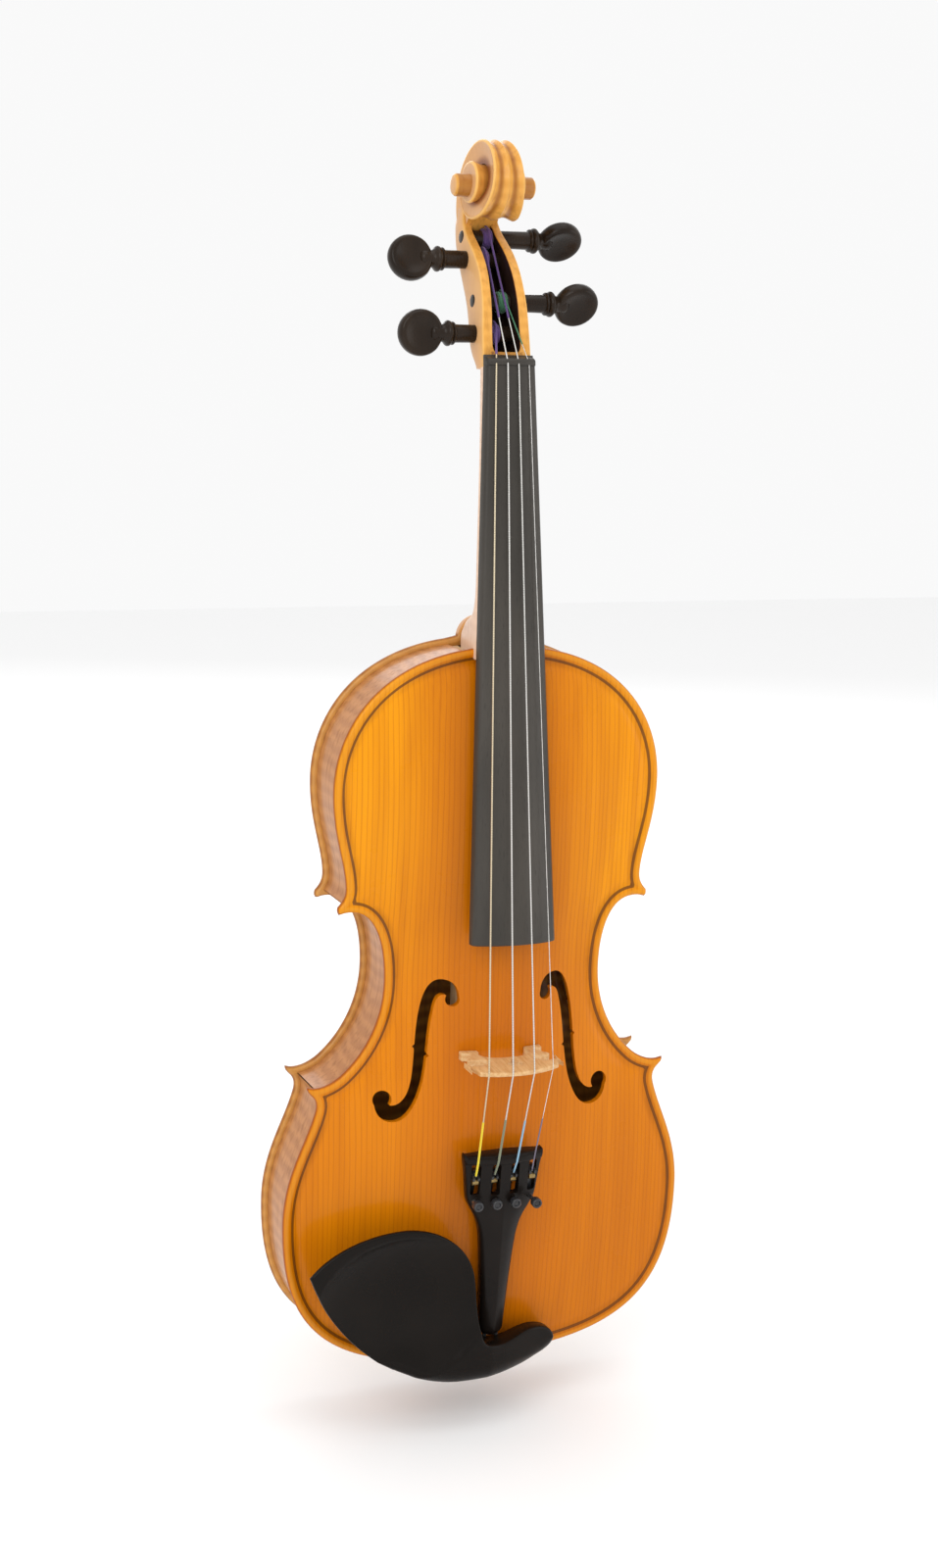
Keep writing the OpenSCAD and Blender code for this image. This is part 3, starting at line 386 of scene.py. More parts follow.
def bare_wood(name, light, deep, scale=(400, 400, 20), rough=0.55):
    s = Shader(name)
    grain = s.noise(scale, 4.0)
    fleck = s.noise(tuple(v * 3 for v in scale), 2.0)
    colour = s.mix(s.band(grain, 0.35, 0.7), light, deep)
    colour = s.tint(colour, s.band(fleck, 0.55, 0.75), 0.4, tuple(c * 0.6 for c in deep))
    s.bump(grain, 0.15, 0.0003)
    return s.finish(colour, s.band(fleck, 0.3, 0.7, rough - 0.08, rough + 0.06))


def ebony(name="ebony", tone=(0.022, 0.019, 0.017), high=(0.055, 0.048, 0.042), rough=0.4, specular=0.3):
    s = Shader(name)
    pores = s.noise((1500, 1500, 50), 3.0)
    cloud = s.noise((40, 40, 6), 3.0)
    colour = s.mix(s.band(cloud, 0.3, 0.75), tone, high)
    colour = s.tint(colour, s.band(pores, 0.55, 0.8), 0.5, tuple(c * 0.4 for c in tone))
    s.bump(pores, 0.12, 0.0002)
    return s.finish(colour, s.band(pores, 0.3, 0.8, rough, rough + 0.12), Specular_IOR_Level=specular)


def moulded(name, tone, rough, coat=0.0, specular=0.25):
    s = Shader(name)
    skin = s.noise((900, 900, 900), 3.0)
    cloud = s.noise((25, 25, 25), 3.0)
    colour = s.mix(s.band(cloud, 0.3, 0.7), tone, tuple(c * 1.5 for c in tone))
    s.bump(skin, 0.06, 0.0002)
    gloss = s.band(cloud, 0.3, 0.7, rough, rough + 0.08)
    return s.finish(colour, gloss, Coat_Weight=coat, Coat_Roughness=0.2, Specular_IOR_Level=specular)


def metal(name, tone, rough=0.25):
    s = Shader(name)
    rub = s.noise((1200, 1200, 200), 3.0)
    dull = s.noise((200, 200, 200), 3.0)
    colour = s.mix(s.band(dull, 0.4, 0.8), tone, tuple(c * 0.7 for c in tone))
    s.bump(rub, 0.08, 0.0001)
    return s.finish(colour, s.band(rub, 0.3, 0.8, rough, rough + 0.15), Metallic=1.0)


def wound(name, tone):
    """Fine windings square to a string's run, given by the attribute run in millimetres."""
    s = Shader(name)
    run = s.attribute("run")
    turn = s.math("PINGPONG", s.times(run, 2.6), 1.0)
    # darker down in the grooves between the windings: painted shade
    colour = s.mix(turn, tuple(c * 0.55 for c in tone), tone)
    s.bump(turn, 0.35, 0.0001)
    return s.finish(colour, s.band(turn, 0.0, 1.0, 0.45, 0.3), Metallic=0.9)


def thread(name, tone):
    s = Shader(name)
    run = s.attribute("run")
    turn = s.math("PINGPONG", s.times(run, 3.2), 1.0)
    fuzz = s.noise((3000, 3000, 3000), 2.0)
    # darker down between the turns: painted shade, with fuzz
    colour = s.mix(s.times(turn, s.band(fuzz, 0.2, 0.8, 0.4, 1.0)), tuple(c * 0.6 for c in tone), tone)
    s.bump(turn, 0.5, 0.0001)
    return s.finish(colour, s.band(fuzz, 0.3, 0.7, 0.6, 0.8), Sheen_Weight=0.3)


def cork():
    s = Shader("cork")
    cell = s.node("ShaderNodeTexVoronoi")
    s.link(s.coords((900, 900, 900)), cell.inputs["Vector"])
    cell.inputs["Scale"].default_value = 1.0
    spots = s.noise((500, 500, 500), 3.0)
    colour = s.mix(s.band(spots, 0.4, 0.7), (0.52, 0.34, 0.19), (0.34, 0.19, 0.09))
    s.bump(cell.outputs["Distance"], 0.3, 0.0003)
    return s.finish(colour, s.band(spots, 0.3, 0.7, 0.75, 0.9))


M = {
    "spruce": spruce_varnish(),
    "back": maple_varnish("maple_back", (0.56, 0.25, 0.045), (0.27, 0.085, 0.014), edged=True),
    "rib": maple_varnish("maple_rib", (0.50, 0.215, 0.070), (0.30, 0.105, 0.028), run=True, flame=0.42),
    "head": maple_varnish("maple_head", (0.72, 0.35, 0.070), (0.47, 0.17, 0.018), (12, 12, 190), 0.25,
                          sides=(0.63, 0.36, 0.18), toned=True),
    "neck": maple_varnish("maple_neck", (0.78, 0.55, 0.40), (0.65, 0.42, 0.28), (12, 12, 190), 0.35,
                          coat=0.05),
    "bare_spruce": bare_wood("bare_spruce", (0.62, 0.44, 0.25), (0.45, 0.28, 0.13)),
    "bare_maple": bare_wood("bare_maple", (0.70, 0.44, 0.20), (0.56, 0.29, 0.10), (700, 60, 700), 0.5),
    "ebony": ebony(),
    "peg": ebony("ebony_peg", (0.012, 0.007, 0.004), (0.028, 0.017, 0.010), 0.22, 0.18),
    "tailpiece": moulded("tailpiece_black", (0.007, 0.005, 0.004), 0.26, specular=0.13),
    "chinrest": moulded("chinrest_black", (0.005, 0.0035, 0.0025), 0.24, 0.03, 0.11),
    "steel": metal("plated_steel", (0.62, 0.62, 0.62)),
    "brass": metal("ball_brass", (0.34, 0.24, 0.10), 0.4),
    "black_metal": moulded("black_metal", (0.02, 0.02, 0.022), 0.25, 0.4),
    "nylon": moulded("nylon", (0.05, 0.05, 0.05), 0.35),
    "cork": cork(),
    "plain_string": metal("plain_string", (0.75, 0.73, 0.70), 0.2),
    "string_g": wound("wound_g", (0.78, 0.66, 0.46)),
    "string_d": wound("wound_d", (0.80, 0.78, 0.74)),
    "string_a": wound("wound_a", (0.82, 0.80, 0.76)),
    "silk_purple": thread("silk_purple", (0.13, 0.055, 0.26)),
    "silk_green": thread("silk_green", (0.05, 0.22, 0.10)),
    "silk_tail_g": thread("silk_tail_g", (1.0, 0.78, 0.0)),
    "silk_tail_d": thread("silk_tail_d", (0.24, 0.27, 0.16)),
    "silk_tail_a": thread("silk_tail_a", (0.30, 0.55, 0.75)),
    "silk_tail_e": thread("silk_tail_e", (0.20, 0.17, 0.24)),
    "board": ebony("ebony_board", (0.030, 0.026, 0.021), (0.058, 0.050, 0.041), 0.36),
}


# ---- Curves and shapes in the bench frame ----


def cubic(a, b, c, d, n):
    """n points along a cubic, without its last one."""
    t = np.linspace(0, 1, n, endpoint=False)[:, None]
    a, b, c, d = (np.array(v, float) for v in (a, b, c, d))
    return (1 - t) ** 3 * a + 3 * t * (1 - t) ** 2 * b + 3 * t * t * (1 - t) * c + t ** 3 * d


def curve(start, *legs):
    """Cubics joined end to end, each leg given by its two handles, its end and its number of points."""
    parts = []
    for a, b, end, n in legs:
        parts.append(cubic(start, a, b, end, n))
        start = end
    return np.concatenate(parts)


def chain(*parts):
    return np.concatenate([np.atleast_2d(np.array(p, float)) for p in parts])


def run_along(line):
    """The length run at each point of a line."""
    return np.concatenate([[0], np.cumsum(np.linalg.norm(np.diff(line, axis=0), axis=1))])


def around(steps):
    return np.linspace(0, 2 * math.pi, steps, endpoint=False)


def spaced(points, step, closed=True):
    """The same line with points about step apart, keeping its corners to within a step."""
    p = np.array(points, float)
    if closed:
        p = np.vstack([p, p[:1]])
    run = run_along(p)
    n = max(8, int(round(run[-1] / step)))
    at = np.linspace(0, run[-1], n, endpoint=not closed)
    return np.stack([np.interp(at, run, p[:, k]) for k in range(p.shape[1])], 1)


def smooth_table(table, x):
    """A smooth curve through [x, value] pairs."""
    xs, ys = np.array(table, float).T
    slope = np.zeros(len(xs))
    slope[1:-1] = (ys[2:] - ys[:-2]) / (xs[2:] - xs[:-2])
    x = np.clip(np.asarray(x, float), xs[0], xs[-1])
    i = np.clip(np.searchsorted(xs, x) - 1, 0, len(xs) - 2)
    w = xs[i + 1] - xs[i]
    u = (x - xs[i]) / w
    return (ys[i] * (1 + 2 * u) * (1 - u) ** 2 + slope[i] * w * u * (1 - u) ** 2
            + ys[i + 1] * u * u * (3 - 2 * u) - slope[i + 1] * w * u * u * (1 - u))


def inside_loop(points, loop):
    x, y = points[:, 0], points[:, 1]
    result = np.zeros(len(points), bool)
    a = loop
    b = np.roll(loop, -1, axis=0)
    for (x0, y0), (x1, y1) in zip(a, b):
        if y0 == y1:
            continue
        crosses = (y0 > y) != (y1 > y)
        result ^= crosses & (x < (x1 - x0) * (y - y0) / (y1 - y0) + x0)
    return result


def distance_to(points, loop):
    """Distance from each point to a closed line."""
    span = np.roll(loop, -1, axis=0) - loop
    long2 = np.maximum((span ** 2).sum(1), 1e-12)
    best = np.full(len(points), 1e9)
    for k in range(0, len(points), 2000):
        p = points[k:k + 2000, None, :] - loop[None]
        t = np.clip((p * span).sum(2) / long2, 0, 1)
        best[k:k + 2000] = np.sqrt((((p - t[..., None] * span) ** 2).sum(2)).min(1))
    return best


def signed_area(loop):
    x, y = loop.T
    return 0.5 * float(np.sum(x * np.roll(y, -1) - np.roll(x, -1) * y))


def inset(loop, far):
    """The loop moved inwards by far, with what crosses itself left out."""
    if far < 1e-9:
        return loop
    step = np.roll(loop, -1, axis=0) - np.roll(loop, 1, axis=0)
    normal = np.stack([-step[:, 1], step[:, 0]], 1)
    normal /= np.maximum(np.linalg.norm(normal, axis=1), 1e-9)[:, None]
    normal *= 1 if signed_area(loop) > 0 else -1
    moved = loop + far * normal
    return moved[distance_to(moved, loop) > far - 0.02 - 0.01 * far]


HALF_OUTLINE = chain(
    curve([0, 0], ([78, 0], [103.5, 24], [103.5, 80], 60),
          ([103.5, 104], [92.5, 119], [88.3, 135], 26),
          ([87.2, 139], [88.6, 142.5], [91.8, 144], 8)),
    [92.6, 145.6],
    curve([92.8, 147.6], ([88, 145.2], [80, 147.8], [74.6, 153], 14),
          ([64, 162.5], [55.5, 178], [55.5, 197], 26),
          ([55.5, 214], [60, 229.5], [70.8, 231.2], 26),
          ([73.5, 231.8], [76.5, 231.5], [78.8, 230.4], 6)),
    [78.8, 230.4], [79.6, 232],
    curve([79.6, 234], ([77, 236.5], [75.6, 239], [75.6, 242], 6),
          ([75.6, 254], [82.8, 268], [82.8, 289], 26),
          ([82.8, 322], [58, 356], [0, 356], 60)),
    [0, 356])
OUTLINE = chain(HALF_OUTLINE, [(-x, y) for x, y in HALF_OUTLINE[::-1] if x > 0.01])
FINE_OUTLINE = spaced(OUTLINE, 1.3)

ARCH_HALF = [[7, 4], [12, 42], [22, 68], [42, 86.5], [78, 95], [110, 89.5], [135, 78], [160, 61],
             [195, 48], [218, 50.5], [240, 61], [262, 69], [290, 74.5], [318, 66.5], [338, 46],
             [346, 26], [349, 4]]


def arch(x, y, rise):
    share = np.sin(np.pi * np.clip((y - 5) / 346, 0.0, 1.0)) ** 0.62
    across = np.cos(np.pi / 2 * np.minimum(1, np.abs(x) / smooth_table(ARCH_HALF, y))) ** 1.4
    return rise * share * np.maximum(across, 0)


def flat_arch(x, y, rise):
    """The CAD's own arch, which the bridge and the soundpost stand on."""
    share = np.sin(np.pi * np.clip((y - 7) / 342, 0.005, 0.995)) ** 0.55
    across = np.cos(np.pi / 2 * np.minimum(1, np.abs(x) / smooth_table(ARCH_HALF, y)))
    return rise * share * np.maximum(across, 0) ** 1.4


# ---- Meshes ----


def add_mesh(name, verts, faces, material, attributes=None, sharp=40, body=BODY, replaces=(), slot=None):
    """A smooth-shaded piece with edges sharper than sharp degrees kept."""
    mesh = bpy.data.meshes.new(name)
    mesh.from_pydata([tuple(v) for v in verts], [], [tuple(int(i) for i in f) for f in faces])
    mesh.validate()
    for key, values in (attributes or {}).items():
        layer = mesh.attributes.new(key, "FLOAT", "POINT")
        layer.data.foreach_set("value", np.asarray(values, np.float32))
    mesh.polygons.foreach_set("use_smooth", [True] * len(mesh.polygons))
    mesh.set_sharp_from_angle(angle=math.radians(sharp))
    piece = bpy.data.objects.new(name, mesh)
    bpy.context.scene.collection.objects.link(piece)
    mesh.materials.append(M[material])
    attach(piece, body)
    if replaces:
        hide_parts(*replaces)


def relief(loops, rings, grid, top, bottom, extra_loops=(), hole_clear=0.9):
    """A closed solid over a plane region: loops[0] is its outline, the others are holes.

    top and bottom give the height of each (x, y, distance from the outline). The two faces meet at the
    outline when they are equal there, and are joined by walls at the holes."""
    outline, holes = loops[0], loops[1:]
    lines = [outline, *holes, *[inset(outline, r) for r in rings if r > 0], *extra_loops]
    kept = []
    for i, line in enumerate(lines):
        for hole in holes if i > len(holes) else ():
            line = line[~inside_loop(line, hole) & (distance_to(line, hole) > hole_clear * 0.5)]
        kept.append(line)
    points = [p for line in kept for p in line]
    edges = []
    start = 0
    for i, line in enumerate(kept):
        if i <= len(holes):
            edges += [(start + k, start + (k + 1) % len(line)) for k in range(len(line))]
        else:
            gaps = np.linalg.norm(np.roll(line, -1, axis=0) - line, axis=1)
            edges += [(start + k, start + (k + 1) % len(line)) for k in range(len(line)) if gaps[k] < 4]
        start += len(line)
    low, high = outline.min(0), outline.max(0)
    xs = np.arange(low[0], high[0], grid)
    ys = np.arange(low[1], high[1], grid * 0.866)
    lattice = np.array([(x + (grid / 2 if j % 2 else 0), y) for j, y in enumerate(ys) for x in xs])
    lattice = lattice[inside_loop(lattice, outline)]
    lattice = lattice[distance_to(lattice, outline) > max(rings) + grid * 0.6]
    for hole in holes:
        lattice = lattice[~inside_loop(lattice, hole) & (distance_to(lattice, hole) > hole_clear)]
    points = np.array(points + list(lattice))
    found = delaunay_2d_cdt([Vector(p) for p in points], edges, [], 0, 1e-4)
    flat = np.array([tuple(v) for v in found[0]])
    faces = np.array([tuple(f) for f in found[2] if len(f) == 3])
    middle = flat[faces].mean(1)
    keep = inside_loop(middle, outline)
    for hole in holes:
        keep &= ~inside_loop(middle, hole)
    faces = faces[keep]
    used = np.unique(faces)
    renumber = np.full(len(flat), -1)
    renumber[used] = np.arange(len(used))
    flat, faces = flat[used], renumber[faces]
    a, b, c = (flat[faces[:, k]] for k in range(3))
    flip = ((b - a)[:, 0] * (c - a)[:, 1] - (b - a)[:, 1] * (c - a)[:, 0]) < 0
    faces[flip] = faces[flip][:, ::-1]
    edge = distance_to(flat, outline)
    edge[edge < 2e-3] = 0
    z_top = top(flat[:, 0], flat[:, 1], edge)
    z_low = bottom(flat[:, 0], flat[:, 1], edge)
    joined = (edge == 0) & (np.abs(z_top - z_low) < 1e-6)
    n = len(flat)
    under = np.arange(n) + n
    under[joined] = np.arange(n)[joined]
    verts = np.vstack([np.column_stack([flat, z_top]), np.column_stack([flat, z_low])])
    all_faces = [tuple(f) for f in faces] + [tuple(under[list(f[::-1])]) for f in faces]
    sides = {}
    for f in faces:
        for k in range(3):
            sides[(f[k], f[(k + 1) % 3])] = 1
    for (i, j) in sides:
        if (j, i) not in sides and not (joined[i] and joined[j]):
            wall = [i, under[i], under[j], j]
            wall = [v for k, v in enumerate(wall) if v != wall[k - 1]]
            all_faces.append(tuple(wall))
    keep = np.zeros(2 * n, bool)
    keep[list({v for f in all_faces for v in f})] = True
    place = np.cumsum(keep) - 1
    all_faces = [tuple(place[list(f)]) for f in all_faces]
    return verts[keep], all_faces, np.concatenate([edge, edge])[keep]


def grid_faces(rows, cols, cap=True):
    """Faces between rings of cols points, and over the two end rings if cap."""
    faces = []
    for r in range(rows - 1):
        for c in range(cols):
            a, b = r * cols + c, r * cols + (c + 1) % cols
            faces.append((a, a + cols, b + cols, b))
    if cap:
        faces.append(tuple(range(cols)))
        faces.append(tuple(range(rows * cols - 1, (rows - 1) * cols - 1, -1)))
    return faces


def loft(name, rings, material, to_bench=None, closed_end=True, **more):
    """A skin through rings of points, all of one length."""
    rings = np.asarray(rings, float)
    rows, cols = rings.shape[:2]
    flat = rings.reshape(-1, 3)
    flat = to_bench(flat) if to_bench else flat
    return add_mesh(name, bench(flat), grid_faces(rows, cols, cap=closed_end), material, **more)


def lathe(profile, steps=48):
    """Rings of a profile of (radius, height) turned about z, from its first point to its last."""
    angle = around(steps)
    return np.array([[(r * math.cos(a), r * math.sin(a), h) for a in angle] for r, h in profile])


def path_frames(path):
    path = np.asarray(path, float)
    tangent = np.gradient(path, axis=0)
    tangent /= np.linalg.norm(tangent, axis=1)[:, None]
    side = np.cross(tangent, [0, 0, 1.0])
    weak = np.linalg.norm(side, axis=1) < 0.1
    side[weak] = np.cross(tangent[weak], [1.0, 0, 0])
    side /= np.linalg.norm(side, axis=1)[:, None]
    return tangent, side, np.cross(side, tangent)


def tube(name, path, radius, material, sides=12, **more):
    """A round tube along a path of bench points, with the attribute run in millimetres."""
    path = np.asarray(path, float)
    _, u, v = path_frames(path)
    angle = around(sides)
    radius = np.broadcast_to(radius, len(path))
    rings = np.array([[p + r * (math.cos(a) * s + math.sin(a) * t) for a in angle]
                      for p, s, t, r in zip(path, u, v, radius)])
    run = run_along(path)
    return loft(name, rings, material, attributes={"run": np.repeat(run, sides)}, **more)


def rounded(path, radius, steps=6):
    """A line with each inner corner turned into an arc-like curve."""
    path = np.asarray(path, float)
    out = [path[0]]
    for a, b, c in zip(path[:-2], path[1:-1], path[2:]):
        ra = min(radius, np.linalg.norm(b - a) * 0.45)
        rc = min(radius, np.linalg.norm(c - b) * 0.45)
        p = b + (a - b) / np.linalg.norm(a - b) * ra
        q = b + (c - b) / np.linalg.norm(c - b) * rc
        for t in np.linspace(0, 1, steps + 1):
            out.append((1 - t) ** 2 * p + 2 * t * (1 - t) * b + t * t * q)
    out.append(path[-1])
    return np.array(out)


# ---- The plates ----


CREST, CREST_IN, UNDER_IN = 4.3, 2.2, 1.9  # the rim's height, and how far in its upper and lower rounds reach
PLATE_THICK = 3.1
PLATE_GRID = 3.2


def edge_round(d, crest):
    """Height of the upper face near the rim: a half-round edge that reaches its crest CREST_IN mm in."""
    u = np.clip(1 - d / CREST_IN, 0, 1)
    return crest / 2 + crest / 2 * np.sqrt(np.maximum(1 - u * u, 0))


def under_round(d, crest):
    u = np.clip(1 - d / UNDER_IN, 0, 1)
    return crest / 2 - crest / 2 * np.sqrt(np.maximum(1 - u * u, 0))


def plate_top(rise):
    def height(x, y, d):
        channel = 0.75 * np.exp(-((d - 6.2) / 2.6) ** 2)
        flat = CREST - 0.5 * np.clip((d - CREST_IN) / 5, 0, 1) - channel
        body = np.where(d > CREST_IN, flat, edge_round(d, CREST))
        ease = np.clip((d - 4) / 6, 0, 1)
        return body + arch(x, y, rise) * ease * ease * (3 - 2 * ease)
    return height


def plate_low(rise):
    top = plate_top(rise)

    def height(x, y, d):
        inner = np.maximum(0, top(x, y, d) - PLATE_THICK) * np.clip((d - 8) / 3, 0, 1)
        return np.where(d < UNDER_IN, under_round(d, CREST), inner)
    return height


PLATE_RINGS = (0.15, 0.4, 0.8, 1.3, 1.8, 2.3, 2.9, 3.4, *PURFLING[:2], 4.4, 4.9, *PURFLING[2:],
               6.0, 7.0, 8.2, 9.6, 11.5)


def f_hole():
    """The treble f-hole: a slanted stem between two round eyes."""
    def eye(centre, radius, start, end, n):
        return [(centre[0] + radius * math.cos(a), centre[1] + radius * math.sin(a))
                for a in np.radians(np.linspace(start, end, n))]
    nick_out = [(41.15, 166.3), (42.3, 165.1), (41.4, 164.2)]
    nick_in = [(35.75, 159.6), (34.4, 160.6), (35.5, 161.6)]
    return chain(
        curve([20.95, 189.2], ([21.1, 194.4], [24.4, 197.9], [29.4, 197.9], 12),
              ([34.2, 197.9], [37, 192.4], [38.6, 185.5], 12),
              ([40, 179.3], [40.7, 173], [41.15, 166.3], 12)),
        nick_out,
        curve([41.4, 164.2], ([41.7, 157.5], [42.3, 152], [43.3, 147.4], 10),
              ([44.8, 140.6], [48.2, 136.2], [52.95, 136.7], 12)),
        eye((56.5, 139.5), 4.5, 218, -36, 30),
        curve([60.15, 136.85], ([59.6, 132.2], [56.4, 128.5], [51.4, 128.5], 14),
              ([46.2, 128.5], [42.4, 133.4], [39.6, 140.8], 14),
              ([37.3, 147], [36.4, 153.5], [35.75, 159.6], 12)),
        nick_in,
        curve([35.5, 161.6], ([34.9, 168.5], [34.3, 174.5], [33.3, 179.8], 10),
              ([31.9, 187.2], [31, 191.4], [26.6, 190.1], 12)),
        eye((24, 188), 3.3, 39, -202, 26))


def make_belly():
    f = spaced(f_hole(), 0.55)
    verts, faces, edge = relief([FINE_OUTLINE, f, f * (-1, 1)], PLATE_RINGS, PLATE_GRID,
                                plate_top(BELLY_RISE), plate_low(BELLY_RISE))
    verts[:, 2] += RIB_TOP
    add_mesh("belly", bench(verts), faces, "spruce", {"edge": edge}, sharp=50,
             replaces=("top_plate", "purfling"), slot="spruce_top")


BUTTON_R = 10.8


def back_outline():
    """The body's outline with the half-round button under the heel."""
    right = HALF_OUTLINE[HALF_OUTLINE[:, 1] < 355.2]
    right = right[~((right[:, 1] > 340) & (right[:, 0] < BUTTON_R + 0.6))]
    arc = [(BUTTON_R * math.cos(a), BODY_LENGTH - 0.5 + BUTTON_R * math.sin(a))
           for a in np.radians(np.linspace(4, 90, 20))]
    half = chain(right, arc)
    return chain(half, [(-x, y) for x, y in half[::-1] if x > 0.01])


def make_back():
    rim = spaced(back_outline(), 1.3)
    inlay = [inset(FINE_OUTLINE, d) for d in PURFLING]
    rings = tuple(r for r in PLATE_RINGS if not 3.5 < r < 5.9)
    verts, faces, _ = relief([rim], rings, PLATE_GRID, plate_top(BACK_RISE), plate_low(BACK_RISE),
                             extra_loops=inlay)
    true_edge = distance_to(verts[:, :2], FINE_OUTLINE)
    rim_edge = distance_to(verts[:, :2], rim)
    edge = np.where(inside_loop(verts[:, :2], FINE_OUTLINE), np.maximum(true_edge, 0), 9.0)
    edge = np.where((edge < 3.6) | (edge > 8.9), rim_edge, edge)
    edge = np.where((edge > 3.6) & ~inside_loop(verts[:, :2], FINE_OUTLINE), 9.0, edge)
    verts[:, 2] = -(verts[:, 2] + RIB_TOP)
    add_mesh("back", bench(verts), [f[::-1] for f in faces], "back", {"edge": edge}, sharp=50,
             replaces=("back_plate",), slot="maple")


# ---- Ribs ----


def rib_line(part, far):
    """A rib's side of the outline, moved in by far, from its lower end to its upper end."""
    half = HALF_OUTLINE
    y = half[:, 1]
    corner_low = int(np.argmax(half[:, 0] * ((y > 140) & (y < 150))))
    corner_up = int(np.argmax(half[:, 0] * ((y > 228) & (y < 236))))
    piece = {"lower": half[:corner_low], "waist": half[corner_low + 1:corner_up],
             "upper": half[corner_up + 1:]}[part]
    piece = spaced(piece, 0.8, closed=False)
    step = np.gradient(piece, axis=0)
    normal = np.stack([-step[:, 1], step[:, 0]], 1)
    normal /= np.linalg.norm(normal, axis=1)[:, None]
    line = piece + far * normal
    clear = distance_to(line, FINE_OUTLINE) > far - 0.06
    return line[clear]


def make_ribs():
    levels = np.linspace(-RIB_TOP, RIB_TOP, 5)
    for part in ("lower", "waist", "upper"):
        outer, inner = rib_line(part, OVERHANG), rib_line(part, OVERHANG + RIB)
        if part == "upper":
            outer, inner = (line[line[:, 0] > 15.6] for line in (outer, inner))
        inner = spaced(inner, 0.8, closed=False)
        t = np.linspace(0, 1, len(outer))
        inner = np.stack([np.interp(t, np.linspace(0, 1, len(inner)), inner[:, k]) for k in (0, 1)], 1)
        run = run_along(outer)
        for side, sign in (("treble", 1), ("bass", -1)):
            rings = []
            for (xo, yo), (xi, yi) in zip(outer, inner):
                ring = [(sign * xo, yo, z) for z in levels] + [(sign * xi, yi, z) for z in levels[::-1]]
                rings.append(ring if sign > 0 else ring[::-1])
            loft(f"rib_{part}_{side}_skin", rings, "rib", attributes={"run": np.repeat(run, 10)}, sharp=50,
                 replaces=(f"rib_{part}_{side}",), slot="maple")


# ---- Neck and head ----

SHAFT_LOW = [[356, -15.5], [361, -15.5], [364, -14.8], [366, -11.5], [367.8, -6], [370, -1], [374, 3.2],
             [379, 5.6], [386, 6.4], [430, 2.9], [484, -2.2]]
SHAFT_HALF = [[356, 16.4], [370, 15.6], [386, 14.9], [484, 12.1]]
BOX_FRONT = [[129, 0], [134.7, -0.2], [145, -1.2], [158, -2.6], [169.5, -6.4], [177, -10.8], [183.7, -16.7],
             [189, -22.9], [194, -28.6], [199, -32], [206, -34]]
BOX_BACK = [[129, -12.6], [132, -14.5], [135, -17.3], [140, -20.4], [145, -21.8], [152, -23.8], [160, -27],
            [171.7, -34], [184.3, -41], [198.5, -45.8], [206, -44.8]]
BOX_HALF = [[129, 12.1], [134, 12.1], [145, 11.9], [158, 11.3], [170, 10.7], [184, 10.3], [190, 10],
            [198, 9.2], [206, 8.2]]
CAVITY_HALF = [[136, 6.8], [150, 6.6], [165, 6.2], [180, 5.6], [197.6, 5.2]]
CAVITY_START, CAVITY_END, CAVITY_FLOOR = 136.3, 197.6, 4.0
SCROLL_HALF = [[-50, 9], [0, 7.6], [80, 6.2], [180, 7.8], [230, 9.6], [270, 11], [360, 11.2], [450, 11.8],
               [540, 12.4], [630, 12.8], [720, 13.2]]
SCROLL_DEEP = 1.12
EYE = (213.4, -16.5)


def make_shaft():
    rings = []
    steps = 40
    root = [BODY_LENGTH - 5.5, BODY_LENGTH - 2.5]
    for along in np.concatenate([root, np.arange(355.9, 390, 0.6), np.arange(392, 484, 4), [484.5]]):
        top = EDGE_TOP + OVERSTAND - (along - BODY_LENGTH) * math.tan(NECK_ANGLE) - 0.02
        y = max(along, 355.9)
        low, w = float(smooth_table(SHAFT_LOW, y)), float(smooth_table(SHAFT_HALF, y))
        button = math.sqrt(max(0.5, (BUTTON_R - 0.2) ** 2 - (y - BODY_LENGTH + 0.5) ** 2))
        heel = min(1, max(0, (368 - y) / 8))
        heel = heel * heel * (3 - 2 * heel)
        low_half = heel * button / w + (1 - heel) * 0.98
        power = 1 - 0.75 * heel
        ring = [(-w, along, top), (w, along, top)]
        for a in np.linspace(0, math.pi, steps):
            c, z = math.cos(a), math.sin(a) ** power
            side = -1 if c < 0 else 1
            ring.append((side * abs(c) ** power * w * (1 + (low_half - 1) * z), along,
                         top - 2 - (top - 2 - low) * z))
        rings.append(ring)
    loft("neck_shaft", rings, "neck", sharp=55, replaces=("neck",), slot="maple")


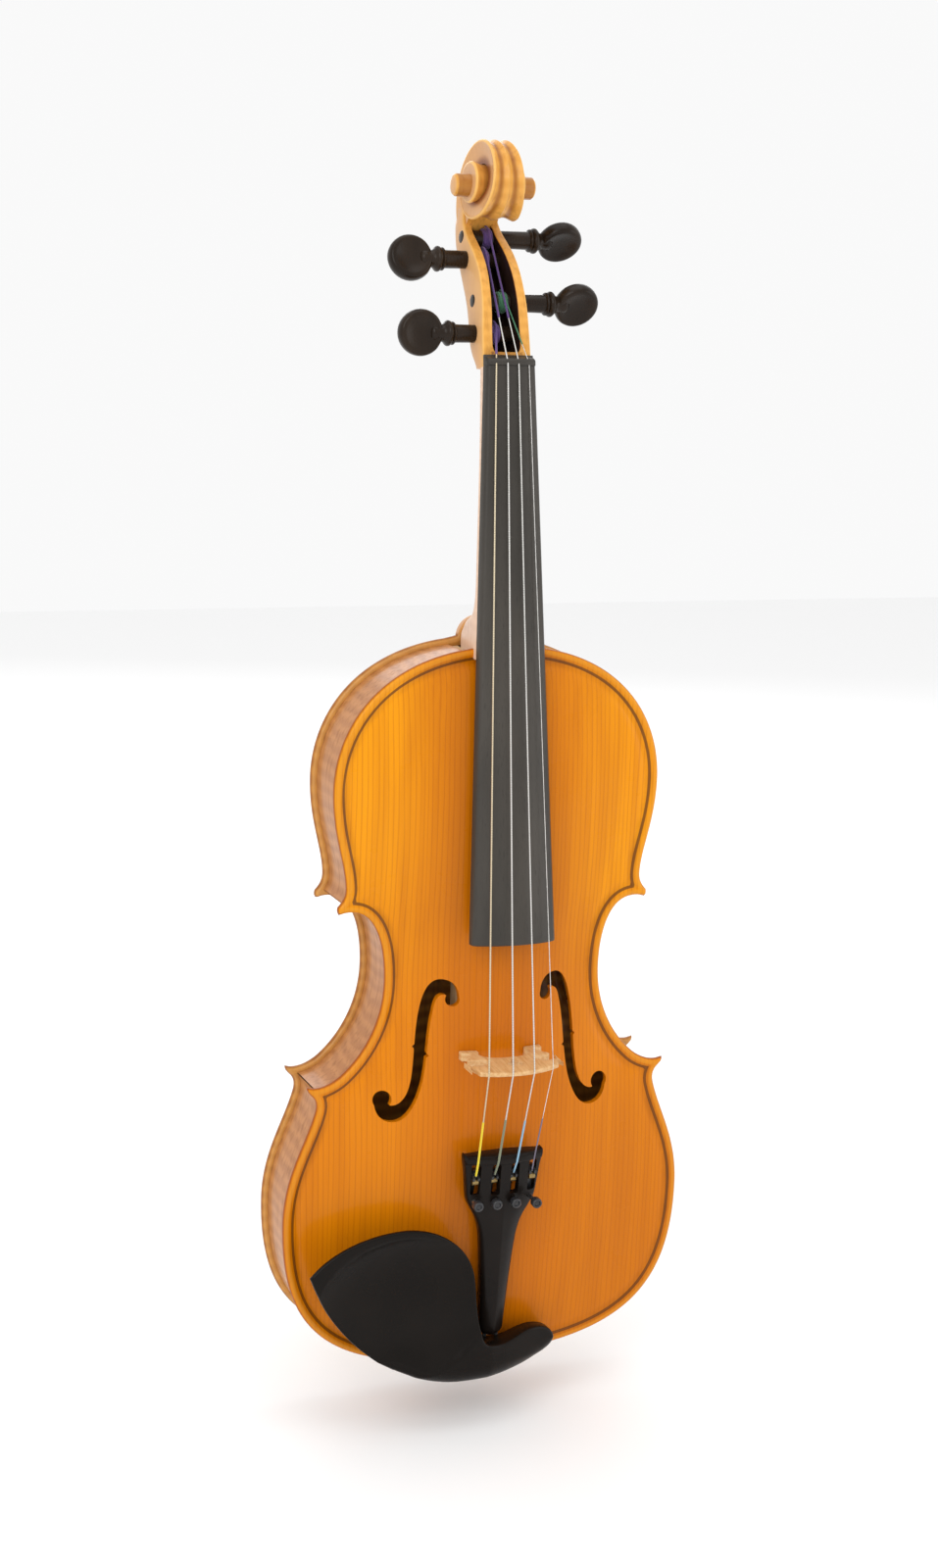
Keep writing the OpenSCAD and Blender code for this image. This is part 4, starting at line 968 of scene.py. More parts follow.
def make_pegbox():
    rings, tones = [], []
    stations = np.concatenate([np.arange(129, 136.2, 0.8), [CAVITY_START - 0.05, CAVITY_START, 136.5, 136.9],
                               np.arange(138, CAVITY_END - 0.8, 1.3),
                               [CAVITY_END - 0.5, CAVITY_END - 0.2, CAVITY_END, CAVITY_END + 0.05],
                               np.arange(CAVITY_END + 1, 206.5, 1.5)])
    for s in stations:
        w, f, b = (float(smooth_table(t, s)) for t in (BOX_HALF, BOX_FRONT, BOX_BACK))
        open_box = CAVITY_START <= s <= CAVITY_END
        c = float(smooth_table(CAVITY_HALF, s)) if open_box else w * 0.6
        to_end = max(0.0, min(s - CAVITY_START, CAVITY_END - s))
        round_end = min(1.0, math.sqrt(to_end / 2.5)) if open_box else 0
        c = c * (0.82 + 0.18 * round_end) if open_box else c
        floor = b + CAVITY_FLOOR + 1.2 * (1 - round_end) if open_box else f - 0.001
        back = [(w, f - 1.1), (w, b + 6), (w - 0.25, b + 3.6), (w - 1.2, b + 1.5), (w - 2.6, b + 0.45),
                (w - 4.4, b), (w - 6.5, b - 0.05)]
        right = [(c, floor + 0.8), (c, f - 0.7), (c + 0.25, f - 0.2), (c + 0.7, f), (w - 1.1, f),
                     (w - 0.35, f - 0.35)]
        half = [(c - 0.9, floor), *right, *back]
        ring = [(x, s, t) for x, t in half] + [(-x, s, t) for x, t in half[::-1]]
        rings.append(ring)
        # tone: near black on the open cavity's floor and walls, painted shade in the hollow; darker on the
        # closed ends' middle; lighter along the front's outer edges, painted highlight
        dark = -2.0 if open_box else -0.4
        tone = [dark, dark, dark, 0.0, 0.25, 0.1, 0.9, 0.4] + [0.0] * 6
        tones.append(tone + tone[::-1])
    loft("pegbox", rings, "head", to_bench=from_neck, sharp=38, slot="maple",
         attributes={"tone": np.array(tones).ravel()})


def scroll_radius(turn):
    return 25.2 * math.exp(-0.0018 * turn)


def make_scroll():
    rings, tones = [], []
    for q in np.arange(-50, 721, 5.0):
        r, w = scroll_radius(q), float(smooth_table(SCROLL_HALF, q))
        core = 0.5 if q > 360 else scroll_radius(q + 360) - 1.0
        flute = 1.5 * min(1, max(0, (r - core) / 6)) * min(1, max(0.0, (q + 50) / 60 + 0.35))
        outer = []
        for x in np.linspace(w - 0.9, -(w - 0.9), 21):
            u = abs(x) / (w - 0.9)
            outer.append((x, r - flute * math.sin(math.pi * u) ** 1.2))
        depth = r - core
        dish = min(1.5, 0.16 * depth)
        hollow = [(0.9, 0), (1, 0.18), (0.95, 0.4), (0.6, 0.65), (0.15, 0.86)]
        if core < 1:
            side = [(w, core + depth * up) for _, up in hollow] + [(w, r - 0.9), (w - 0.3, r - 0.3)]
        else:
            side = [(w - dish * cut, core + depth * up) for cut, up in hollow]
            side += [(w, r - 1.0), (w - 0.3, r - 0.3)]
        profile = side + outer + [(-x, v) for x, v in side[::-1]]
        # tone: darker down the middle of the flutes and in the hollow by the core, painted shade; lighter on
        # the rims, painted highlight
        dip = [0.35 - 1.05 * math.sin(math.pi * abs(x) / (w - 0.9)) ** 2 for x, _ in outer]
        flank = [-1.1, -0.7, -0.15, 0.0, 0.0, 0.9, 1.0]
        if q < 10:
            flank = [0.0, 0.0, 0.0, 0.0, 0.0, 0.6, 0.8]
        tones.append(flank + dip + flank[::-1])
        sin_q, cos_q = math.sin(math.radians(q)), math.cos(math.radians(q))
        rings.append([(x, EYE[0] + v * sin_q, EYE[1] - SCROLL_DEEP * v * cos_q) for x, v in profile])
    loft("scroll", rings, "head", to_bench=from_neck, sharp=38, slot="maple",
         attributes={"tone": np.array(tones).ravel()})
    eye_half = 20.2
    profile = [(0.01, -eye_half), (2.6, -eye_half), (4.4, -eye_half + 0.5), (5.2, -eye_half + 1.5),
               (5.2, eye_half - 1.5), (4.4, eye_half - 0.5), (2.6, eye_half), (0.01, eye_half)]
    rings = lathe(profile, 40)
    rings = np.stack([rings[..., 2], EYE[0] + rings[..., 0], EYE[1] + rings[..., 1]], -1)
    # tone: lighter on the eye's rounded edges, painted highlight; darker round its side, painted shade
    tone = np.repeat([0.0, 0.1, 0.5, -0.6, -0.6, 0.5, 0.1, 0.0], 40)
    loft("scroll_eye", rings, "head", to_bench=from_neck, sharp=50, slot="maple", attributes={"tone": tone})


# ---- Fingerboard and nut ----

BOARD_LENGTH, BOARD_EDGE, NUT_HALF = 269.0, 5.0, 12.0
FREE_FROM = -8.2  # along the neck: below it the board stands free over the belly


def board_half(s):
    return NUT_HALF + 9 * (NUT_S - s) / BOARD_LENGTH


def arc_rise(half, x):
    return math.sqrt(BOARD_RADIUS ** 2 - x * x) - math.sqrt(BOARD_RADIUS ** 2 - half * half)


def board_top(s, x):
    return BOARD_EDGE + arc_rise(board_half(s), x)


def make_fingerboard():
    rings = []
    start = NUT_S - BOARD_LENGTH
    across = np.linspace(-1, 1, 33)
    plain_run = [(v, 0) for v in np.arange(-134, -9, 6.0)]
    for s, shrink in [(start, 0.7), (start + 0.2, 0.3), (start + 0.7, 0.0), (start + 4, 0), *plain_run,
                      (-9, 0), (FREE_FROM, 0), (0, 0), (60, 0), (NUT_S - 0.02, 0)]:
        w = board_half(s)
        free = float(np.clip((FREE_FROM - s) / 0.8, 0, 1))
        top = []
        for u in across:
            round_edge = 0.9 * max(0, (abs(u) - 0.94) / 0.06) ** 2
            top.append((u * (w - shrink), s, board_top(s, u * w) - round_edge - shrink))
        low = []
        for u in across[::-1]:
            scoop = 4.0 * free * max(0, 1 - (u * 1.13) ** 2) ** 0.7
            low.append((u * (w - shrink), s, 0.02 + scoop + shrink))
        rings.append(top + low)
    loft("fingerboard_skin", [r[::-1] for r in rings], "board", to_bench=from_neck, sharp=50,
         replaces=("fingerboard",), slot="ebony")


def make_nut():
    rings = []
    w = NUT_HALF + 0.05
    for ds, rise in [(0.02, 0.55), (0.25, 0.75), (1.2, 0.8), (2.2, 0.7), (2.9, 0.1), (3.6, -1.4),
                     (4.3, -3.4), (4.8, -5.4), (5.0, -6.0)]:
        s = NUT_S + ds
        ring = []
        for u in np.linspace(-1, 1, 41):
            x = u * w
            crest = BOARD_EDGE + arc_rise(NUT_HALF, min(abs(x), NUT_HALF))
            top = max(1.6, crest + rise - 0.9 * max(0, (abs(u) - 0.95) / 0.05) ** 2)
            ring.append((x, s, top))
        ring += [(w, s, 0.02), (-w, s, 0.02)]
        rings.append(ring[::-1])
    loft("nut_skin", rings, "board", to_bench=from_neck, sharp=60, replaces=("nut",), slot="ebony")


# ---- Pegs and strings ----

# side of the head, place along the neck, height over its gluing face, turn of the head, distance of the tip
PEGS = {"g": (-1, 145.2, -11.8, -8, 11.5), "d": (-1, 180.6, -26, 12, 12), "a": (1, 191.4, -32.5, 50, 9.6),
        "e": (1, 160.2, -15.3, 40, 8.7)}
WINDING_AT = {"g": 2.7, "d": 2.1, "a": 2.1, "e": 2.7}
STRING_R = {"g": 0.4, "d": 0.4, "a": 0.35, "e": 0.2}
RANK = {"g": -1.5, "d": -0.5, "a": 0.5, "e": 1.5}
SHAFT_LONG, HEAD_AT = 33.4, 49.6


def peg_r(u):
    return 4.2 + 0.08 - (SHAFT_LONG - u) / 60


def on_peg(name):
    """Maps points on the peg's own axis, +z from the tip to the head, to bench."""
    side, s, t, _, tip = PEGS[name]

    def place(points):
        p = np.asarray(points, float).reshape(-1, 3)
        return from_neck(np.stack([side * (p[:, 2] - tip), s + p[:, 1], t - side * p[:, 0]], 1))
    return place


COLLAR = [(4.9, 0.15), (5.35, 0.55), (5.4, 1.0), (5.0, 1.4), (4.75, 1.6), (5.3, 1.9), (5.85, 2.5), (6.0, 3.1),
          (5.9, 3.7), (5.4, 4.3), (4.6, 4.9), (4.05, 5.8), (3.8, 7), (3.9, 8.6), (4.2, 10.5), (3.0, 12),
          (0.01, 12.5)]
HEAD_HALF = [(0.01, -1.9), (2, -1.95), (4, -2.15), (6, -2.6), (7.6, -3.1), (8.8, -3.4), (9.6, -3.25),
             (10.2, -2.7), (10.6, -1.8), (10.8, -0.6)]


def make_peg(name):
    """A peg's turned shaft with its collars, and its flat head dished on both faces."""
    place = on_peg(name)
    body = f"peg_{name}"
    u = SHAFT_LONG
    wall = float(smooth_table(BOX_HALF, PEGS[name][1]))
    tip = min(0.0, PEGS[name][4] - wall) - 0.2
    profile = [(0.01, tip - 0.1), (2.2, tip), (3.3, tip + 0.25), (peg_r(tip + 0.8), tip + 0.8), (peg_r(u), u)]
    profile += [(r, u + out) for r, out in COLLAR]
    loft(f"peg_{name}_shaft", lathe(profile, 40), "peg", to_bench=place, sharp=50, body=body,
         replaces=(f"peg_{name}",), slot="ebony")
    turn = math.radians(PEGS[name][3] - PEGS[name][0] * 90)
    rings = []
    cos_turn, sin_turn = math.cos(turn), math.sin(turn)
    for r, h in HEAD_HALF + [(r, -h) for r, h in HEAD_HALF[::-1]]:
        ring = []
        for a in around(64):
            along, across = math.cos(a), math.sin(a)
            long_r = r * (1.0 + 0.03 * along)
            waist = 1 - 0.35 * max(0, -along - 0.72) * r / HEAD_HALF[-1][0]
            x, z, y = long_r * across * waist, HEAD_AT + long_r * along, h
            ring.append((x * cos_turn - y * sin_turn, x * sin_turn + y * cos_turn, z))
        rings.append(ring)
    loft(f"peg_{name}_head", rings, "peg", to_bench=place, sharp=60, body=body, slot="ebony")


WOUND_R = 5.3


def silk_at_peg(name):
    return "silk_" + ("green" if name == "e" else "purple")


def make_winding(name):
    """The string's turns round its peg."""
    middle = PEGS[name][4] + WINDING_AT[name]
    half = 2.3
    thick = 0.5
    turns = 4.6
    outer = WOUND_R - 0.2
    side = PEGS[name][0]
    steps = int(turns * 28)
    points = []
    for k in range(steps + 1):
        t = k / steps
        a = 2 * math.pi * turns * t
        u = middle + side * (-(half - thick) + 2 * (half - thick) * t)
        points.append(((outer - thick) * math.cos(a), (outer - thick) * math.sin(a), u))
    path = on_peg(name)(points)
    colour = silk_at_peg(name)
    tube(f"string_winding_{name}_turns", path, thick, colour, sides=10, body=f"peg_{name}",
         replaces=(f"string_winding_{name}",), slot="silk")
    core_r = outer - 0.7
    core = [(0.01, middle - half), (core_r, middle - half), (core_r, middle + half), (0.01, middle + half)]
    loft(f"string_winding_{name}_core", lathe(core, 32), colour, to_bench=on_peg(name), body=f"peg_{name}",
         slot="silk", attributes={"run": np.zeros(4 * 32)})


# the bridge's crown: its height over the belly's edge, its radius, and its shift to the bass
CROWN_TOP, CROWN_RADIUS, CROWN_SHIFT = 41.8, 42, 2.7


def crown(x):
    return (CROWN_TOP - math.sqrt(CROWN_RADIUS ** 2 - CROWN_SHIFT ** 2)
            + math.sqrt(CROWN_RADIUS ** 2 - (x + CROWN_SHIFT) ** 2))


TAIL_HALF = [[0, 4.6], [2, 5.7], [12, 6.3], [30, 7.3], [50, 8.9], [57, 10], [63, 12], [68, 14.8], [73, 17.2],
             [80, 18.3], [88, 19.2], [97, 20.5]]
TAIL_LENGTH = 97
TAIL_CROWN = [[0, 6.5], [3, 8], [50, 8.6], [97, 8.8]]
TAIL_EDGE = [[0, 3.5], [4, 4.6], [97, 4.8]]


def tail_top(s, x):
    half = smooth_table(TAIL_HALF, s)
    low, high = smooth_table(TAIL_EDGE, s), smooth_table(TAIL_CROWN, s)
    return low + (high - low) * (1 - np.clip(np.abs(x) / half, 0, 1) ** 2)


# the strings' spacing at the tailpiece, the bridge and the nut
TAIL_GAP, BRIDGE_GAP, NUT_GAP = 9.7, 11.2, 5.4
# along the tailpiece: the tuner's screw, the string's hook with its height, and the middle of the fret
SCREW_AT, HOOK_AT, HOOK_HIGH, FRET_AT = 73.2, 86.3, 6.2, 94.2
# how far the coloured silk runs from the tail end, and where it starts past the nut
SILK_TAIL = {"g": 32.0, "d": 34.0, "a": 32.0, "e": 30.0}
SILK_PEG_GAP = {"g": 5.0, "d": 24.0, "a": 24.0, "e": 10.0}


def string_points(name):
    """The string's bends from its hook to the nut, and its arc onto the peg's turns."""
    r, rank = STRING_R[name], RANK[name]
    x = TAIL_GAP * rank
    hook = from_tail([(x, HOOK_AT, HOOK_HIGH)])[0]
    fret = from_tail([(x, FRET_AT, float(tail_top(FRET_AT, x)) + 1 + r - 0.15)])[0]
    bx = BRIDGE_GAP * rank
    bridge = np.array([bx, BRIDGE_AT - 1.1, EDGE_TOP + crown(bx)])
    nx = NUT_GAP * rank
    over = np.array([nx, NUT_S + 1.2, board_top(NUT_S, nx) + 0.55])
    side, s, t = PEGS[name][:3]
    centre = np.array([s, t])
    wrap = WOUND_R + r + 0.3
    d = over[1:] - centre
    start = math.atan2(d[1], d[0]) - math.acos(wrap / np.linalg.norm(d))
    arc = []
    for k in range(9):
        a = start - math.radians(8 * k)
        radius = wrap - 0.12 * k / 8
        arc.append((side * WINDING_AT[name], s + radius * math.cos(a), t + radius * math.sin(a)))
    return [hook, fret, bridge, from_neck([over])[0]], from_neck(arc)


def cut_path(path, start, end):
    run = run_along(path)
    inner = path[(run > start) & (run < end)]
    ends = [np.array([np.interp(v, run, path[:, k]) for k in range(3)]) for v in (start, end)]
    return np.vstack([ends[:1], inner, ends[1:]])


def make_string(name):
    knots, arc = string_points(name)
    bend = rounded(np.vstack([knots, arc[:1]]), 1.6, 8)
    path = np.vstack([bend[:-1], arc])
    run = run_along(path)
    total = run[-1]
    fine = np.unique(np.concatenate([run, np.linspace(0, total, 60)]))
    path = np.stack([np.interp(fine, run, path[:, k]) for k in range(3)], 1)
    metal_look = "plain_string" if name == "e" else "string_" + name
    tube(f"string_{name}_run", path, STRING_R[name], metal_look, replaces=(f"string_{name}",),
         slot="string_metal")
    silk = STRING_R[name] + 0.14
    tube(f"string_{name}_tail_silk", cut_path(path, 0.5, SILK_TAIL[name]), silk, f"silk_tail_{name}",
         slot="silk")
    at_nut = run[-len(arc):][0] - np.linalg.norm(arc[0] - knots[3])
    colour = silk_at_peg(name)
    tube(f"string_{name}_peg_silk", cut_path(path, at_nut + SILK_PEG_GAP[name], total - 0.01), silk, colour,
         slot="silk")


# ---- Bridge ----


def bridge_outline():
    belly = float(flat_arch(0, BRIDGE_AT, BELLY_RISE))
    crown_half = 20.6
    top = [(x, crown(x) - 0.2) for x in np.linspace(-crown_half, crown_half, 50)]
    side = chain(
        curve([20.9, crown(20.6) - 0.6], ([22.6, 26], [23.2, 24.5], [23.3, 22.6], 6),
              ([23.8, 20.5], [22.8, 18.6], [21.6, 17.7], 6),
              ([20.8, 17.2], [20.2, 16.9], [19.6, 17.2], 3),
              ([16.4, 18.6], [12.2, 17], [11.8, 14], 10),
              ([12, 11.4], [16, 11.4], [19.4, 11.6], 10),
              ([21.2, 11.2], [21.6, 9.6], [20.4, 8.6], 6),
              ([18.4, 7], [17, 5.4], [17, 3.4], 6),
              ([17.2, 2.4], [18.6, 2.2], [20.75, 1.6], 5)),
        [20.75, 1.6])
    foot = [(x, float(flat_arch(x, BRIDGE_AT - 2.4, BELLY_RISE)) - belly + 0.12)
            for x in np.linspace(20.75, 12, 10)]
    inner = chain([12.0, 1.6], curve([12.1, 1.8], ([13.4, 3.4], [12.9, 5], [12.6, 5.6], 6),
                                     ([11, 9.6], [6, 10.4], [0, 10.4], 14)))
    half = chain(side, foot, inner)
    half = half + (0, belly)
    half[:6, 1] -= belly
    return chain(top, half, [0, belly + 10.4], half[::-1] * (-1, 1)), belly


def heart_outline(belly):
    """The heart cut in the bridge's middle, with its small foot."""
    half = chain(curve([0, 3.4], ([0.4, 4.6], [1.6, 5.1], [2.7, 4.6], 8),
                       ([4.6, 3.8], [4.6, 1.2], [2.7, 0.3], 10),
                       ([1.5, -0.2], [0.8, -0.8], [0.8, -2.0], 6),
                       ([0.9, -2.9], [1.4, -3.2], [1.3, -3.8], 5)),
                 [1.3, -3.8])
    loop = chain(half, half[::-1][:-1] * (-1, 1))
    return loop + (0, belly + 17)


def make_bridge():
    outline, belly = bridge_outline()
    outline = spaced(outline, 0.6)
    heart = spaced(heart_outline(belly), 0.45)
    slope = (4.6 - 2.0) / 34

    def bevel(d):
        return 0.35 * np.clip(1 - d / 0.5, 0, 1) ** 2

    def tail_face(x, z, d):
        return 2.3 - bevel(d)

    def neck_face(x, z, d):
        return -2.3 + slope * np.maximum(0, z - 8) + bevel(d)

    verts, faces, _ = relief([outline, heart], (0.12, 0.25, 0.5), 2.2, tail_face, neck_face, hole_clear=0.5)
    placed = np.stack([verts[:, 0], BRIDGE_AT - verts[:, 2], EDGE_TOP + verts[:, 1]], 1)
    add_mesh("bridge_carved", bench(placed), faces, "bare_maple", sharp=45, replaces=("bridge",),
             slot="bare_maple")


# ---- Tailpiece, tuners and tailgut ----


def rounded_box(cx, x_half, s0, s1, radius):
    points = []
    for sx, sy, start in ((1, 1, 0), (-1, 1, 90), (-1, -1, 180), (1, -1, 270)):
        ox, oy = cx + sx * (x_half - radius), (s1 - radius if sy > 0 else s0 + radius)
        for a in np.radians(np.linspace(start, start + 90, 5)):
            points.append((ox + radius * math.cos(a), oy + radius * math.sin(a)))
    return np.array(points)


def circle(cx, cy, r):
    a = around(20)
    return np.stack([cx + r * np.cos(a), cy + r * np.sin(a)], 1)


SLOT_START, SLOT_END = 76.5, 92.4  # the slots for the strings' ball ends, along the tailpiece


def make_tailpiece():
    s = np.concatenate([np.linspace(0.0, 3, 6), np.arange(4, 96.6, 1.0), [96.6, TAIL_LENGTH]])
    w = smooth_table(TAIL_HALF, s)
    w = w - np.where(s < 2, 0.8 * (1 - s / 2) ** 2, 0) - np.where(s > 96.5, 0.4, 0)
    right = np.stack([w, s], 1)
    share = np.linspace(1, -1, 30)[1:-1]
    end = np.stack([np.linspace(w[-1], -w[-1], 30)[1:-1], TAIL_LENGTH + 0.9 * (1 - share ** 2) - 0.9], 1)
    outline = spaced(chain(right, end, right[::-1] * (-1, 1)), 0.9)
    holes = []
    for name in STRINGS:
        x = TAIL_GAP * RANK[name]
        holes.append(spaced(rounded_box(x, 2.2, SLOT_START, SLOT_END, 0.9), 0.7))
        holes.append(circle(x, SCREW_AT, 1.16))
    fret = [np.array([(x, v) for x in np.linspace(-20, 20, 50)])
            for v in (92.5, 92.9, 93.4, FRET_AT, 95.1, 95.6, 96.0)]
    spine = [np.array([(x, v) for v in np.linspace(2, 75, 70)]) for x in (-0.5, 0, 0.5)]

    def top(x, v, d):
        crest = tail_top(v, x)
        ridge = 0.35 * np.exp(-(x / 0.8) ** 2) * np.clip((72 - v) / 8, 0, 1)
        bump = np.interp(v, [92.5, 92.9, 93.4, 95.1, 95.6, 96.0], [0, 0.8, 1, 1, 0.8, 0])
        edge = 0.8 * np.clip(1 - d / 0.9, 0, 1) ** 2
        return crest + ridge + bump * np.clip(d / 0.8, 0.4, 1) - edge

    def low(x, v, d):
        pocket = (np.clip((v - 68.5) / 1.0, 0, 1) * np.clip((SLOT_END - v) / 0.8, 0, 1)
                  * np.clip((d - 1.4) / 0.3, 0, 1))
        return 4.2 * pocket + 0.5 * np.clip(1 - d / 0.6, 0, 1) ** 2

    verts, faces, _ = relief([outline, *holes], (0.15, 0.35, 0.6, 0.9, 1.4, 1.7), 2.4, top, low,
                             extra_loops=fret + spine, hole_clear=0.5)
    add_mesh("tailpiece_shell", bench(from_tail(verts)), faces, "tailpiece", sharp=42,
             replaces=("tailpiece",), slot="composite")


# how far each tuner's screw is wound in, and the height of a knob's foot with its screw wound out
WOUND_IN = {"g": 3, "d": 3, "a": 2.7, "e": 0.2}
KNOB_FOOT = 12.55


def make_knob(name):
    r = 2.5
    profile = [(1.15, -0.05), (r - 0.4, -0.05), (r - 0.1, 0.1), (r, 0.4), (r, 2.9), (r - 0.15, 3.35),
               (r - 0.5, 3.6), (r - 0.95, 3.62), (r - 1.15, 3.4), (r - 1.3, 2.9), (r - 1.5, 2.7),
               (0.01, 2.65)]

    def place(points):
        p = np.asarray(points, float).reshape(-1, 3)
        return from_tail(p + (TAIL_GAP * RANK[name], SCREW_AT, KNOB_FOOT - WOUND_IN[name]))

    rings = lathe(profile, 40)
    loft(f"tuner_knob_{name}_cap", rings, "black_metal", to_bench=place, sharp=50, body=f"tuner_knob_{name}",
         replaces=(f"tuner_knob_{name}",), slot="black_metal")


def make_tailgut():
    ring_r, ring_y = 5.0, -1.1
    saddle = RIB_TOP + 9
    half = [*from_tail([(3, 10, 3.6), (3, -1, 3.6)]), (3.3, 5.6, saddle + 1.6), (3.5, 3.2, saddle + 1.15),
            (3.7, 1.2, saddle + 1.05), (4, -0.3, saddle - 0.1), (4.3, ring_y, saddle - 2.6),
            (ring_r, ring_y, 6)]
    half += [(ring_r * math.cos(a), ring_y, ring_r * math.sin(a)) for a in np.radians(np.arange(0, -89, -9))]
    path = np.array(half + [(0, ring_y, -ring_r)] + [(-x, y, z) for x, y, z in half[::-1]])
    tube("tailgut_smooth", rounded(path, 2.0, 5), 1.0, "nylon", sides=14, replaces=("tailgut",), slot="nylon")


def make_button():
    head, gap, high, neck = 7.0, 2.2, 3.4, 3.9
    seat = OVERHANG - 0.02
    top = gap + high
    profile = [(0.01, -18), (2.9, -18), (3.2, -17.6), (3.45, -seat), (neck + 0.6, -seat),
               (neck + 0.8, -seat + 0.3), (neck + 0.5, -seat + 0.8), (neck, -seat + 1.6), (neck, gap - 0.5),
               (neck + 0.6, gap - 0.1), (head - 0.5, gap), (head - 0.1, gap + 0.25), (head, gap + 0.7),
               (head, top - 0.9), (head - 0.25, top - 0.3), (head - 0.9, top + 0.25), (head - 2.2, top + 0.6),
               (3, top + 0.85), (1.5, top + 0.97), (0.01, top + 1)]
    rings = lathe(profile, 48)
    rings = np.stack([rings[..., 0], -rings[..., 2], rings[..., 1]], -1)
    loft("end_button_turned", rings, "ebony", sharp=55, replaces=("end_button",), slot="ebony")


# ---- Chin rest ----


def rest_outline():
    return chain(
        curve([-97.3, 62], ([-88, 73], [-70, 80.5], [-50, 80.5], 30),
              ([-32, 80], [-18, 69], [-13.5, 54], 30),
              ([-10.5, 44], [-12, 20.5], [-6.2, 17.2], 24),
              ([-4, 16], [3, 15.8], [5.6, 16.8], 10),
              ([10, 17.6], [15, 20.8], [21, 20.6], 14),
              ([27, 20.4], [32.5, 17.5], [32.6, 11.5], 14),
              ([32, 2.5], [10, -2.6], [-16, -2.6], 30),
              ([-48, -2.6], [-82, 22], [-97.3, 62], 50)))


# under the chin rest: its foot on the belly's edge, the gap for the tailpiece and the room round the saddle
FOOT_X, FOOT_Y, GAP_X, SADDLE_X, SADDLE_Y, STEP = -48, 13.0, 9.9, 17.9, 6.8, 0.4
REST_RINGS = (0.12, 0.3, 0.55, 0.9, 1.3, 2.0, 3.0, 4.2, 5.6, 7.2, 9.5)


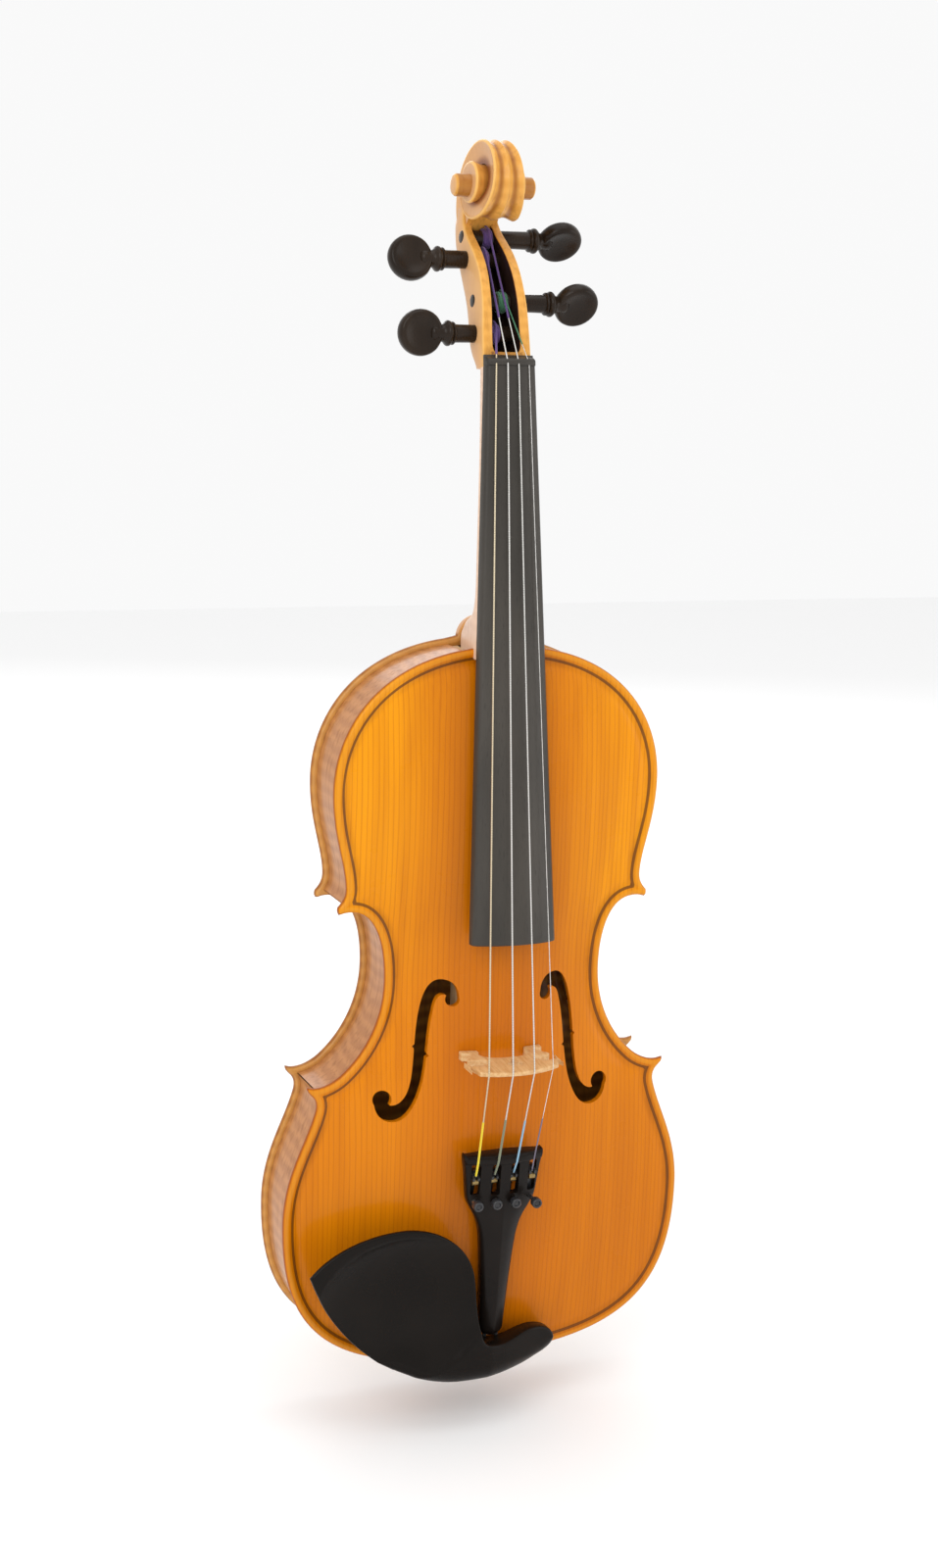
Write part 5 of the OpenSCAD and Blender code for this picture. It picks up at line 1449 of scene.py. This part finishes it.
def make_chinrest():
    outline = spaced(rest_outline(), 1.2)
    # lines where the underside steps: its foot, the gap over the tailpiece and the room round the saddle
    (x0, x1), (y0, y1) = (SADDLE_X, SADDLE_X - STEP), (SADDLE_Y, SADDLE_Y - STEP)
    g0, g1 = GAP_X, GAP_X - STEP
    y_step = [np.array([(x, y) for x in np.arange(-60, 34, 1.5)]) for y in (-0.7, -0.3, y1, y0, 12.2, FOOT_Y)]
    x_step = [np.array([(x, y) for y in np.arange(-3, 14, 1.5)])
              for x in (FOOT_X, -47.2, -x0, -x1, -g0, -g1, g1, g0, x1, x0)]

    def top(x, y, d):
        u = (x + 50) / 52
        v = (y - 40) / (52 * 0.82)
        inside = np.clip(1 - u * u - v * v, 0, 1)
        dish = 34 - 0.36 * 52 * np.sqrt(inside)
        slope = 25 - np.maximum(0, x + 4) * math.tan(math.radians(12))
        high = np.minimum(np.minimum(25, dish), slope)
        high = high - 0.9 * np.clip((x - 4) / 20, 0, 1)
        edge = np.clip(1 - d / 1.3, 0, 1)
        high = high - 1.0 * (1 - np.sqrt(np.maximum(1 - edge ** 2, 0)))
        tail_side = np.clip((13 - y) / 9, 0, 1)
        roll = np.clip(1 - d / 9.5, 0, 1)
        return high - 7.5 * tail_side * (1 - np.sqrt(np.maximum(1 - roll ** 2, 0)))

    def low(x, y, d):
        foot = np.clip((FOOT_Y - y) / 0.8, 0, 1) * np.clip((x - FOOT_X) / 0.8, 0, 1)
        middle = np.clip((GAP_X - np.abs(x)) / STEP, 0, 1)
        base = 11 * (1 - foot) + 2.25 * foot
        base = np.maximum(base, 13.2 * middle * (y < 13.01) + base * (1 - middle))
        saddle = np.clip((SADDLE_X - np.abs(x)) / STEP, 0, 1) * np.clip((SADDLE_Y - y) / STEP, 0, 1)
        saddle = saddle * np.clip((y + 0.7) / STEP, 0, 1)
        base = np.maximum(base, 5.7 * saddle + base * (1 - saddle))
        thin = top(x, y, np.maximum(d, 1.3)) - 2.8 - 0.55 * d
        cup = np.clip((y - 13) / 4, 0, 1) * np.clip((-12 - x) / 4, 0, 1)
        cup = np.maximum(cup, np.clip((FOOT_X - x) / 4, 0, 1))
        base = np.where(cup > 0, np.maximum(base, base * (1 - cup) + thin * cup), base)
        return base + 0.7 * np.clip(1 - d / 1.0, 0, 1) ** 2 * (1 - 0.6 * foot)

    verts, faces, _ = relief([outline], REST_RINGS, 2.6, top, low, extra_loops=y_step + x_step)
    verts[:, 2] += EDGE_TOP
    add_mesh("chinrest_moulded", bench(verts), faces, "chinrest", sharp=48, replaces=("chinrest",),
             slot="chinrest")


BARREL_X, BARREL_Y = 13.5, -3.2


def make_clamps():
    """The two barrels, each a tube with a groove round its middle and chamfered ends."""
    for side, sign in (("bass", -1), ("treble", 1)):
        r, half = 2.3, 14.0
        profile = [(1.16, -half), (1.8, -half), (2.15, -half + 0.25), (r, -half + 0.7)]
        profile += [(r, -2.2), (r - 0.15, -2.0), (r - 0.15, -1.8), (r, -1.6)]
        profile += [(a, -h) for a, h in profile[::-1]]
        profile += [(1.16, -half)]
        rings = lathe(profile, 32) + (sign * BARREL_X, BARREL_Y, 0)
        loft(f"clamp_barrel_{side}_turned", rings, "steel", closed_end=False, sharp=50,
             body=f"clamp_barrel_{side}", replaces=(f"clamp_barrel_{side}",), slot="plated_steel")


# ---- CAD parts shown as they are ----

CAD_FINISH = dict.fromkeys(("linings", "neck_block", "end_block", "corner_blocks", "bass_bar", "soundpost"),
                           "bare_spruce")
CAD_FINISH.update(dict.fromkeys(("tuner_pins", "clamp_bracket", "clamp_foot"), "steel"))
CAD_FINISH.update(dict.fromkeys(("chinrest_cork", "clamp_foot_cork"), "cork"), saddle="ebony")
CAD_FINISH.update({f"tuner_lever_{name}": "black_metal" for name in STRINGS})
CAD_FINISH.update({f"tuner_screw_{name}": "steel" for name in STRINGS})
CAD_FINISH.update({f"ball_end_{name}": "brass" for name in STRINGS})

make_camera()
make_studio()
make_belly()
make_back()
make_ribs()
make_shaft()
make_pegbox()
make_scroll()
make_fingerboard()
make_nut()
for string in STRINGS:
    make_peg(string)
    make_winding(string)
    make_string(string)
    make_knob(string)
make_bridge()
make_tailpiece()
make_tailgut()
make_button()
make_chinrest()
make_clamps()
for node, finish in CAD_FINISH.items():
    NODES[node].data.materials.clear()
    NODES[node].data.materials.append(M[finish])
make_floor()
